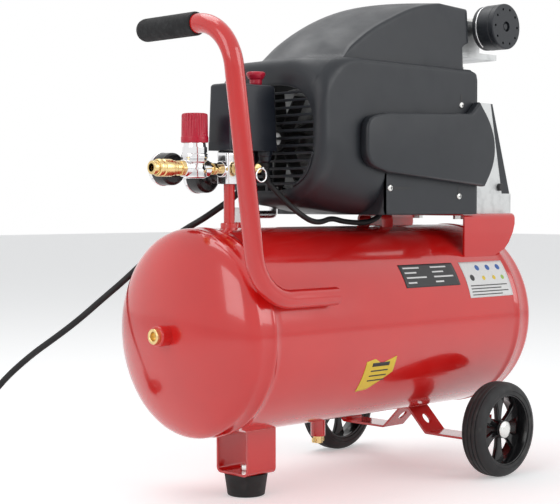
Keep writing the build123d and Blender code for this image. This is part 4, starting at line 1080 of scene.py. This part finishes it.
# ---------------------------------------------------------------- fittings
def fluted(profile, origin, axis, flutes, depth, start, end, sides=192):
    """A turned knob whose radius dips by depth * (1 - |cos(flutes * a / 2)|^0.5) between
    two heights, as moulded flutes do."""
    profile = np.asarray(profile, float)
    first, second = across(axis)
    angle = np.linspace(0, 2 * pi, sides, endpoint=False)[None, :, None]
    along, radius = profile[:, 0, None, None], profile[:, 1, None, None]
    inside = (along > start) & (along < end)
    radius = radius - inside * depth * (1 - np.abs(np.cos(flutes * angle / 2)) ** 0.5)
    rows = np.asarray(origin) + along * unit(np.asarray(axis, float))
    rows = rows + np.maximum(radius, 1e-5) * (np.cos(angle) * first + np.sin(angle) * second)
    return surface(rows)


class COMPRESSOR_OT_fittings(bpy.types.Operator):
    """Build the regulator with its knob, the manifold, coupler, safety valve and gauges"""

    bl_idname = "compressor.fittings"
    bl_label = "Fittings"

    def execute(self, context):
        self.regulator(context.scene.compressor_sizes.knob_flutes)
        self.manifold()
        self.coupler()
        self.safety_valve()
        self.gauges()
        return {"FINISHED"}

    def regulator(self, flutes):
        body_low, body_high = low("regulator_body"), high("regulator_body")
        x, half = middle("regulator_body")[0], (body_high - body_low) / 2
        barrel = [(0, 0.0115), (0.0015, 0.0142), (0.010, 0.0145), (0.0135, 0.0128), (0.018, 0.0125),
                  (0.020, 0.0148), (body_high[2] - body_low[2], 0.0148)]
        parts = [lathe(rounded(barrel, 0.0012), (x, 0, body_low[2]), Z, 64)]
        for axis, reach in ((X, half[0]), (-X, half[0]), (Y, half[1])):
            boss = [(0, 0.0102), (reach - 0.0004, 0.0102), (reach, 0.0095), (reach, 0.006)]
            parts.append(lathe(rounded(boss, 0.0005), (x, 0, port_z), axis, 48))
        piece("regulator_casting", join(*parts), finishes["chrome"], replaces=("regulator_body",))
        neck_low, neck_high = low("regulator_bonnet"), high("regulator_bonnet")
        tall = neck_high[2] - neck_low[2]
        neck = [(0, 0.0155), (0.001, 0.0158), (0.0045, 0.0158), (0.0055, 0.0145), (tall * 0.6, 0.012),
                (tall, 0.0085)]
        piece("regulator_neck", lathe(rounded(neck, 0.0006), (x, 0, neck_low[2]), Z, 64),
              finishes["chrome"],
              replaces=("regulator_bonnet",))
        knob_low, knob_high = low("regulator_knob"), high("regulator_knob")
        tall = knob_high[2] - knob_low[2]
        radius = 0.0164
        profile = np.array([(0, 0.0095), (0, radius - 0.001), (0.001, radius), (0.0065, radius),
                            (0.0075, radius - 0.0005),
                            (0.0076, radius - 0.0005), (tall - 0.0025, radius - 0.0008),
                            (tall - 0.0007, radius - 0.0016),
                            (tall, radius - 0.004), (tall - 0.0006, 0.008), (tall - 0.0008, 0)])
        piece("pressure_knob",
              fluted(rounded(profile, 0.0006), (x, 0, knob_low[2]), Z, flutes, 0.0012,
                                      0.0078, tall - 0.0012), finishes["knob"],
                                      "regulator_knob",
              ("regulator_knob",), 50)

    def manifold(self):
        lo, hi = low("manifold"), high("manifold")
        centre = (lo + hi) / 2
        parts = [tapered_box(lo + (0.003, 0.001, 0), hi - (0.003, 0.001, 0.0), 0.0045, 0.0003, 0.0025)]
        parts.append(lathe(rounded([(0, 0.0098), (0.003, 0.0105), (0.008, 0.0105), (0.009, 0.0085)],
                                   0.0008),
                           (centre[0], 0, lo[2]), Z, 48))
        for way in (-1, 1):
            boss = [(0.008, 0.0098), (hi[0] - centre[0] - 0.0004, 0.0098), (hi[0] - centre[0], 0.009),
                    (hi[0] - centre[0], 0.005)]
            parts.append(lathe(rounded(boss, 0.0005), (centre[0], 0, port_z), X * way, 48))
        piece("manifold_block", join(*parts), finishes["chrome"], replaces=("manifold",))

    def coupler(self):
        lo, hi = low("coupler_body"), high("coupler_body")
        long = hi[0] - lo[0]
        hose_end = [(0, 0.0049), (0, 0.0072), (0.0008, 0.0081), (0.0045, 0.0082), (0.0052, 0.0074),
                    (0.0068, 0.0074),
                    (0.0072, 0.0082), (long - 0.012, 0.0082), (long - 0.0115, 0.0078), (long, 0.0078),
                    (long, 0.0060),
                    (0.034, 0.0030), (0.034, 0.0049)]
        nut = slab(hexagon(0.0175), (hi[0] - 0.0105, 0, port_z), Y, Z, 0.0085, 0.0007)
        tail = lathe(rounded([(0, 0.0060), (0, 0.0072), (0.003, 0.0074), (0.003, 0.0060)], 0.0003),
                     (hi[0] - 0.003, 0, port_z), X, 40)
        barrel = turned_ring(hose_end, (lo[0], 0, port_z), X, 48)
        piece("coupler_barrel", join(barrel, nut, tail), finishes["brass"],
              replaces=("coupler_body",))
        lo, hi = low("coupler_sleeve"), high("coupler_sleeve")
        long, radius = hi[0] - lo[0], (hi - lo)[2] / 2
        sleeve = [(0, 0.0084), (0, radius - 0.0012), (0.001, radius - 0.0003), (0.0045, radius),
                  (0.0055, radius - 0.0012),
                  (0.008, radius - 0.0012), (0.009, radius - 0.0002), (long - 0.006, radius - 0.0002),
                  (long - 0.005, radius - 0.0014), (long - 0.001, radius - 0.0014),
                  (long, radius - 0.002), (long, 0.0084)]
        collar = turned_ring(rounded(sleeve, 0.0004, 4, True), (lo[0], 0, port_z), X, 48)
        piece("coupler_collar", collar, finishes["brass"], "coupler_sleeve", ("coupler_sleeve",))
        lo, hi = low("regulator_nipple"), high("regulator_nipple")
        nipple = [lathe([(0, 0.0055), (hi[0] - lo[0], 0.0055)], (lo[0], 0, port_z), X, 32),
                  slab(hexagon(0.0135), ((lo[0] + hi[0]) / 2 - 0.003, 0, port_z), Y, Z, 0.006, 0.0006)]
        piece("nipple_hex", join(*nipple), finishes["brass"], replaces=("regulator_nipple",))

    def safety_valve(self):
        lo, hi = low("safety_valve_body"), high("safety_valve_body")
        y = hi[1]
        valve = [(0, 0.005), (0.005, 0.005), (0.0055, 0.0074), (0.021, 0.0074), (0.0225, 0.0066),
                 (0.024, 0.0074),
                 (0.031, 0.0070), (0.033, 0.0058), (hi[1] - lo[1] - 0.0008, 0.0058),
                 (hi[1] - lo[1], 0.0045), (hi[1] - lo[1], 0.0016)]
        parts = [lathe(rounded(valve, 0.0006), (post_x, y, port_z), -Y, 40),
                 slab(hexagon(0.0155), (post_x, y - 0.0145, port_z), Z, X, 0.008, 0.0006)]
        piece("relief_valve", join(*parts), finishes["brass"], replaces=("safety_valve_body",))

    def gauges(self):
        cases, bezels, dials, marks = [], [], [], []
        for joint in ("gauge_pointer_outlet_turn", "gauge_pointer_tank_turn"):
            gx, gz = joints[joint]["pos_m"][::2]
            front = high("gauge_cases")[1]
            back = front - 0.026
            case = [(-0.022, 0.0055), (-0.013, 0.0055), (-0.0125, 0.0078), (-0.002, 0.0078),
                    (0, 0.0095), (0.0006, 0.0165),
                    (0.0035, 0.0196), (0.0215, 0.0198), (0.0215, 0.0186), (0.0175, 0.0184), (0.0172, 0.0)]
            cases.append(lathe(rounded(case, 0.0008), (gx, back, gz), Y, 72))
            ring = [(0.0205, 0.0197), (0.021, 0.0204), (0.0245, 0.0205), (0.026, 0.0198),
                    (0.026, 0.0182), (0.0245, 0.0180), (0.0215, 0.0183)]
            bezels.append(turned_ring(rounded(ring, 0.0004, 4, True), (gx, back, gz), Y, 72))
            face_y = front - 0.0086
            dials.append(lathe([(0, 0), (0, 0.0182), (0.0003, 0.0183), (0.0006, 0.0182), (0.0006, 0)],
                               (gx, face_y - 0.0006, gz), Y, 64))
            for tick in range(31):
                angle = radians(225 - 270 * tick / 30)
                u = np.array([-cos(angle), 0, sin(angle)])
                v = np.cross(Y, u)
                long_tick = tick % 5 == 0
                inner = 0.0128 if long_tick else 0.0145
                flat = box_outline((0.0168 - inner) / 2, 0.00028 if long_tick else 0.00014, 0.00005, 2)
                marks.append(slab(flat, np.array([gx, face_y, gz]) + u * (0.0168 + inner) / 2, -v, u,
                                  0.00012, 0.00003, 2))
        piece("gauge_shells", join(*cases), finishes["gauge"], replaces=("gauge_cases",))
        piece("gauge_bezels", join(*bezels), finishes["chrome"])
        piece("gauge_faces", join(*dials), finishes["dial"], replaces=("gauge_dials",))
        piece("gauge_ticks", join(*marks), finishes["ink"])


# ---------------------------------------------------------------- pump
class COMPRESSOR_OT_pump(bpy.types.Operator):
    """Build the finned cylinder, the case bolts, the filter's shell and its wire clip"""

    bl_idname = "compressor.pump"
    bl_label = "Pump"

    def execute(self, context):
        self.cylinder()
        self.case_bolts()
        self.air_filter()
        return {"FINISHED"}

    def cylinder(self):
        lo, hi = low("cylinder"), high("cylinder")
        tall = hi[2] - lo[2]
        profile = [(0, 0.0238), (0, 0.034), (0.004, 0.034), (0.0055, 0.031)]
        for fin in range(6):
            z = 0.0095 + fin * 0.008
            profile += [(z, 0.031), (z + 0.0006, 0.0415), (z + 0.0022, 0.042), (z + 0.0030, 0.031)]
        profile += [(tall - 0.003, 0.031), (tall, 0.033), (tall, 0.0238)]
        barrel = turned_ring(profile, (crank_x, 0, lo[2]), Z, 72)
        piece("finned_barrel", barrel, finishes["cast"], replaces=("cylinder",))

    def case_bolts(self):
        bolts = []
        case_back = high("crankcase")[0] - 0.022
        for way in (-1, 1):
            for x, z in ((case_back - 0.006, 0.036), (case_back - 0.082, 0.036)):
                head = [(0, 0.0052), (0.004, 0.0052), (0.0048, 0.0045), (0.0048, 0)]
                bolts.append(lathe(head, (x, way * 0.075, pump_z + z), (0, way, 0), 24))
        piece("case_bolts", join(*bolts), finishes["ink"])

    def air_filter(self):
        lo = low("filter_housing")
        centre = middle("filter_cap")
        y0 = -0.060
        long = y0 - lo[1]
        drum = [(-0.003, 0.007), (-0.0002, 0.0072), (0, 0.026), (0.003, 0.0302), (0.0075, 0.0305),
                (0.0085, 0.0295), (0.0115, 0.0295),
                (0.0125, 0.0308), (long - 0.0012, 0.0308), (long - 0.0004, 0.0300), (long, 0.0296),
                (long, 0.0)]
        shell = [lathe(rounded(drum, 0.0007), (centre[0], y0, centre[2]), -Y, 96)]
        shell.append(lathe([(0, 0.0068), (0.0135, 0.0068)], (centre[0], y0 + 0.0145, centre[2]), -Y, 32))
        piece("filter_drum", join(*shell), finishes["shroud"], replaces=("filter_housing",))
        angle = np.linspace(radians(-62), radians(242), 80)
        ring = np.stack([centre[0] + 0.0302 * np.cos(angle), y0 - 0.010 + 0 * angle,
                         centre[2] + 0.0302 * np.sin(angle)], -1)
        piece("wire_clip", tube(ring, 0.0010, 12, (0.1, 1.0, 0.05)), finishes["chrome"],
              replaces=("filter_clip",))


# ---------------------------------------------------------------- cords
def nurbs(name, points, radius, material):
    """A cord as one NURBS spline whose control points are the route's."""
    curve = bpy.data.curves.new(name, "CURVE")
    curve.dimensions = "3D"
    spline = curve.splines.new("NURBS")
    spline.points.add(len(points) - 1)
    spline.points.foreach_set("co", np.column_stack([points, np.ones(len(points))]).ravel())
    spline.order_u = 3
    spline.use_endpoint_u = True
    curve.resolution_u = 8
    curve.bevel_depth = radius
    curve.bevel_resolution = 5
    curve.use_fill_caps = True
    curve.materials.append(material)
    obj = bpy.data.objects.new(name, curve)
    bpy.context.scene.collection.objects.link(obj)
    return obj


def along_route(points):
    """The points of the smooth line that a route's NURBS spline makes."""
    bare = nurbs("route_probe", points, 0.0, finishes["cord"])
    bpy.context.view_layer.update()
    mesh = bpy.data.meshes.new_from_object(bare.evaluated_get(bpy.context.evaluated_depsgraph_get()))
    line = np.empty(len(mesh.vertices) * 3)
    mesh.vertices.foreach_get("co", line)
    curve = bare.data
    bpy.data.objects.remove(bare)
    bpy.data.curves.remove(curve)
    bpy.data.meshes.remove(mesh)
    return line.reshape(-1, 3)


def relief(line, cord_r, length, wide, rings=6):
    """A ribbed sleeve that tapers onto a cord, from the line's start."""
    along = np.concatenate([[0], np.cumsum(np.linalg.norm(np.diff(line, axis=0), axis=1))])
    s = np.linspace(0, length, rings * 8)
    path = np.stack([np.interp(s, along, line[:, i]) for i in range(3)], -1)
    taper = wide + (cord_r + 0.0009 - wide) * s / length
    ribs = 0.0006 * (np.sin(s / length * rings * 2 * pi) > 0.2)
    return tube(path, taper - ribs, 32, (1, 0.3, 0.1))


gland = np.array([0.0, low("switch_base")[1] + 0.033, low("cable_glands")[2]])
gland[0] = middle("cable_glands")[0]
cord_r = 0.004
lead_r = 0.0035


def metres(rows):
    """A route given in millimetres from the tank's middle, across, and up from its top."""
    return np.array([(tank_x + x * MM, y * MM, tank_top + z * MM) for x, y, z in rows])


def cord_points():
    """The power cord's route: from its gland over the tank's shoulder to the floor, then
    four turns of coil in two layers, then up to the plug's tail."""
    start = np.array([gland, gland - (0, 0, 0.016)])
    route = metres([
        (-159, 21, 38), (-172, 34, 25), (-186, 51, 10), (-200, 72, -4), (-223, 103, -32),
        (-248, 128, -66), (-269, 147, -90), (-289, 169, -116), (-306, 193, -138), (-327, 222, -163),
        (-351, 250, -196), (-368, 270, -232), (-379, 283, -265), (-386, 293, -290), (-392, 305, -308),
        (-396, 320, -320),
    ])
    floor = cord_r
    arrive = np.array([(tank_x - 0.398, 0.338, floor), (tank_x - 0.3965, 0.353, floor)])
    centre = coil_centre()
    seats = np.array([(47.5, 4.1), (39.2, 4.1), (39.2, 12.5), (47.5, 12.5)]) * MM
    turn = np.linspace(0, 4 * 2 * pi - radians(90), 68)
    lap = turn / (2 * pi)
    whole = np.minimum(np.floor(lap), 3).astype(int)
    shift = np.clip((lap - whole) * 360 - 300, 0, 60)[:, None] / 60
    following = seats[np.minimum(whole + 1, 3)]
    seat = seats[whole] * (1 - shift) + following * shift
    coil = centre + np.stack([seat[:, 0] * np.cos(turn), seat[:, 0] * np.sin(turn), seat[:, 1]], -1)
    tail = plug_start()
    leave = [centre + np.array([r * cos(radians(a)), r * sin(radians(a)), z]) * (MM, MM, MM)
             for r, a, z in ((46.5, -68, 18.5), (43, -48, 25.5), (38, -26, 31.5))]
    last = [tail - plug_way * 0.010 - (0, 0, 0.0006), tail + plug_way * 0.002]
    return np.concatenate([start, route, arrive, coil, leave, last])


def coil_centre():
    """The coil's middle on the floor: the ring's box without the stub that joins it."""
    top = high("cord_coil")
    ring = 0.054
    return np.array([low("cord_coil")[0] + ring, top[1] - ring, 0.0])


def plug_start():
    """The end of the plug's tail."""
    return coil_centre() + np.array([0.0327, 0.004, low("power_plug")[2] + 0.018])


class COMPRESSOR_OT_cords(bpy.types.Operator):
    """Build the power cord with its coil and plug, the motor lead and their strain reliefs"""

    bl_idname = "compressor.cords"
    bl_label = "Cords"

    def execute(self, context):
        points = cord_points()
        cord = nurbs("power_cord_run", points, cord_r, finishes["cord"])
        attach(cord, MAIN)
        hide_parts("power_cord", "cord_coil")
        tail = plug_start()
        body = [(0, 0.0046), (0.022, 0.0078), (0.0225, 0.0115), (0.026, 0.012), (0.0262, 0.0165),
                (0.028, 0.018),
                (0.055, 0.0178), (0.0605, 0.0168), (0.062, 0.0155), (0.062, 0)]
        side = np.cross(Z, plug_way)
        shell = lathe(rounded(body, 0.0008), tail, plug_way, 64)
        grips = []
        for step in range(5):
            at_ring = tail + plug_way * (0.004 + step * 0.004)
            wide = 0.0052 + 0.0032 * (0.004 + step * 0.004) / 0.022
            grips.append(lathe(rounded([(0, wide - 0.001), (0, wide + 0.0006), (0.0022, wide + 0.0009),
                                        (0.0022, wide - 0.001)], 0.0005),
                               at_ring, plug_way, 40))
        plug = piece("plug_body", join(shell, *grips), finishes["cord"],
                     replaces=("power_plug",))
        pins = []
        for way in (-1, 1):
            pin = rounded([(-0.002, 0.0024), (0.0175, 0.0024), (0.019, 0.0016), (0.019, 0)], 0.001)
            pins.append(lathe(pin, tail + plug_way * 0.062 + side * way * 0.0095, plug_way, 24))
        prongs = piece("plug_pins", join(*pins), finishes["zinc"])
        sleeve = piece("cord_relief", relief(along_route(points), cord_r, 0.026, 0.0066),
                       finishes["cord"])

        near = gland - (0, 0.022, 0)
        route = metres([
            (-140, -30, 46), (-127, -42, 27), (-106, -44, 14), (-84, -38, 7), (-60, -31, 5.5),
            (-38, -28, 11), (-14, -28, 5.5), (28, -30, 3.5), (56, -30, 14), (58, -30, 36), (58, -30, 52.5),
        ])
        lead_points = np.concatenate([[near, near - (0, 0, 0.020)], route])
        lead = nurbs("motor_lead_run", lead_points, lead_r, finishes["cord"])
        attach(lead, MAIN)
        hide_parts("motor_lead")
        lead_sleeve = piece("lead_relief", relief(along_route(lead_points), lead_r, 0.024, 0.006),
                            finishes["cord"])
        return {"FINISHED"}


# ---------------------------------------------------------------- stage
class COMPRESSOR_OT_stage(bpy.types.Operator):
    """Set up the floor, the soft lights, the surroundings and the camera"""

    bl_idname = "compressor.stage"
    bl_label = "Stage"

    floor_reach = 12.0
    floor_gap = 0.0004
    floor_glow = 0.35
    fill_strength = 0.42
    lens = 90.0
    sensor = 36.0

    def execute(self, context):
        scene = context.scene
        self.floor(scene)
        self.surroundings(scene)
        aim = np.array([0.0, 0.0, 0.33])
        self.softbox("key_light", (0.9, -2.3, 1.3), aim, (1.8, 1.4), 20)
        self.softbox("end_light", (-2.3, -0.3, 1.2), aim, (1.2, 1.4), 12)
        self.softbox("top_light", (-0.2, 0.6, 2.4), aim, (2.0, 1.2), 20)
        self.camera(scene)
        scene.view_settings.view_transform = "Standard"
        return {"FINISHED"}

    def floor(self, scene):
        reach, depth = self.floor_reach, -self.floor_gap
        mesh = bpy.data.meshes.new("studio_floor")
        corners = [(-reach, -reach, depth), (reach, -reach, depth),
                   (reach, reach, depth), (-reach, reach, depth)]
        mesh.from_pydata(corners, [], [(0, 1, 2, 3)])
        floor = bpy.data.objects.new("studio_floor", mesh)
        scene.collection.objects.link(floor)
        mesh.materials.append(self.floor_material())

    def surroundings(self, scene):
        """A world that is white to the rays that see it, and dimmer as a light."""
        world = bpy.data.worlds.new("studio")
        scene.world = world
        world.use_nodes = True
        tree = world.node_tree
        tree.nodes.clear()
        output = tree.nodes.new("ShaderNodeOutputWorld")
        seen, fill = tree.nodes.new("ShaderNodeBackground"), tree.nodes.new("ShaderNodeBackground")
        seen.inputs["Color"].default_value = (1, 1, 1, 1)
        seen.inputs["Strength"].default_value = 1.0
        fill.inputs["Color"].default_value = (0.96, 0.98, 1, 1)
        fill.inputs["Strength"].default_value = self.fill_strength
        mix = tree.nodes.new("ShaderNodeMixShader")
        tree.links.new(self.seen_rays(tree), mix.inputs[0])
        tree.links.new(fill.outputs[0], mix.inputs[1])
        tree.links.new(seen.outputs[0], mix.inputs[2])
        tree.links.new(mix.outputs[0], output.inputs[0])

    def camera(self, scene):
        camera_data = bpy.data.cameras.new("camera")
        camera_data.lens = self.lens
        camera_data.sensor_width = self.sensor
        camera = bpy.data.objects.new("camera", camera_data)
        scene.collection.objects.link(camera)
        place = np.array([tank_x - 1.32764, -1.26531, axis_z + 0.15543])
        target = np.array([tank_x - 0.10217, 0.0, axis_z + 0.09327])
        self.point(camera, place, target)
        scene.camera = camera

    def seen_rays(self, tree):
        """One where a camera, glossy or transmission ray looks, else zero."""
        rays = tree.nodes.new("ShaderNodeLightPath")
        total = rays.outputs["Is Camera Ray"]
        for name in ("Is Glossy Ray", "Is Transmission Ray"):
            most = tree.nodes.new("ShaderNodeMath")
            most.operation = "MAXIMUM"
            tree.links.new(total, most.inputs[0])
            tree.links.new(rays.outputs[name], most.inputs[1])
            total = most.outputs[0]
        return total

    def floor_material(self):
        """White floor that keeps shadows: diffuse, with a little glow for the rays that see it."""
        material = bpy.data.materials.new("floor_white")
        material.use_nodes = True
        tree = material.node_tree
        shader = tree.nodes["Principled BSDF"]
        shader.inputs["Base Color"].default_value = (0.92, 0.92, 0.92, 1)
        shader.inputs["Roughness"].default_value = 0.9
        shader.inputs["Specular IOR Level"].default_value = 0.1
        shader.inputs["Emission Color"].default_value = (1, 1, 1, 1)
        glow = tree.nodes.new("ShaderNodeMath")
        glow.operation = "MULTIPLY"
        glow.inputs[1].default_value = self.floor_glow
        tree.links.new(self.seen_rays(tree), glow.inputs[0])
        tree.links.new(glow.outputs[0], shader.inputs["Emission Strength"])
        return material

    def point(self, obj, place, target):
        """Puts a lamp or camera at a place, looking along its own -Z at the target."""
        obj.location = place
        obj.rotation_euler = Vector(target - np.asarray(place)).to_track_quat("-Z", "Y").to_euler()

    def softbox(self, name, place, target, size, power):
        light = bpy.data.lights.new(name, "AREA")
        light.shape = "RECTANGLE"
        light.size, light.size_y = size
        light.energy = power
        lamp = bpy.data.objects.new(name, light)
        bpy.context.scene.collection.objects.link(lamp)
        self.point(lamp, place, target)


class COMPRESSOR_PT_panel(bpy.types.Panel):
    """Lists the builders in the sidebar"""

    bl_idname = "COMPRESSOR_PT_panel"
    bl_label = "Air compressor"
    bl_space_type = "VIEW_3D"
    bl_region_type = "UI"
    bl_category = "Compressor"

    def draw(self, context):
        for builder in BUILDERS:
            self.layout.operator(builder.bl_idname)


BUILDERS = (
    COMPRESSOR_OT_finishes,
    COMPRESSOR_OT_tank,
    COMPRESSOR_OT_labels,
    COMPRESSOR_OT_shroud,
    COMPRESSOR_OT_wheels,
    COMPRESSOR_OT_handle,
    COMPRESSOR_OT_switch,
    COMPRESSOR_OT_fittings,
    COMPRESSOR_OT_pump,
    COMPRESSOR_OT_cords,
    COMPRESSOR_OT_stage,
)
CLASSES = (CompressorColours, CompressorSizes, *BUILDERS, COMPRESSOR_PT_panel)


def register():
    for item in CLASSES:
        bpy.utils.register_class(item)
    bpy.types.Scene.compressor_colours = PointerProperty(type=CompressorColours)
    bpy.types.Scene.compressor_sizes = PointerProperty(type=CompressorSizes)


def unregister():
    del bpy.types.Scene.compressor_sizes
    del bpy.types.Scene.compressor_colours
    for item in reversed(CLASSES):
        bpy.utils.unregister_class(item)


def main():
    register()
    for builder in BUILDERS:
        group, name = builder.bl_idname.split(".")
        getattr(getattr(bpy.ops, group), name)()


if __name__ == "__main__":
    main()
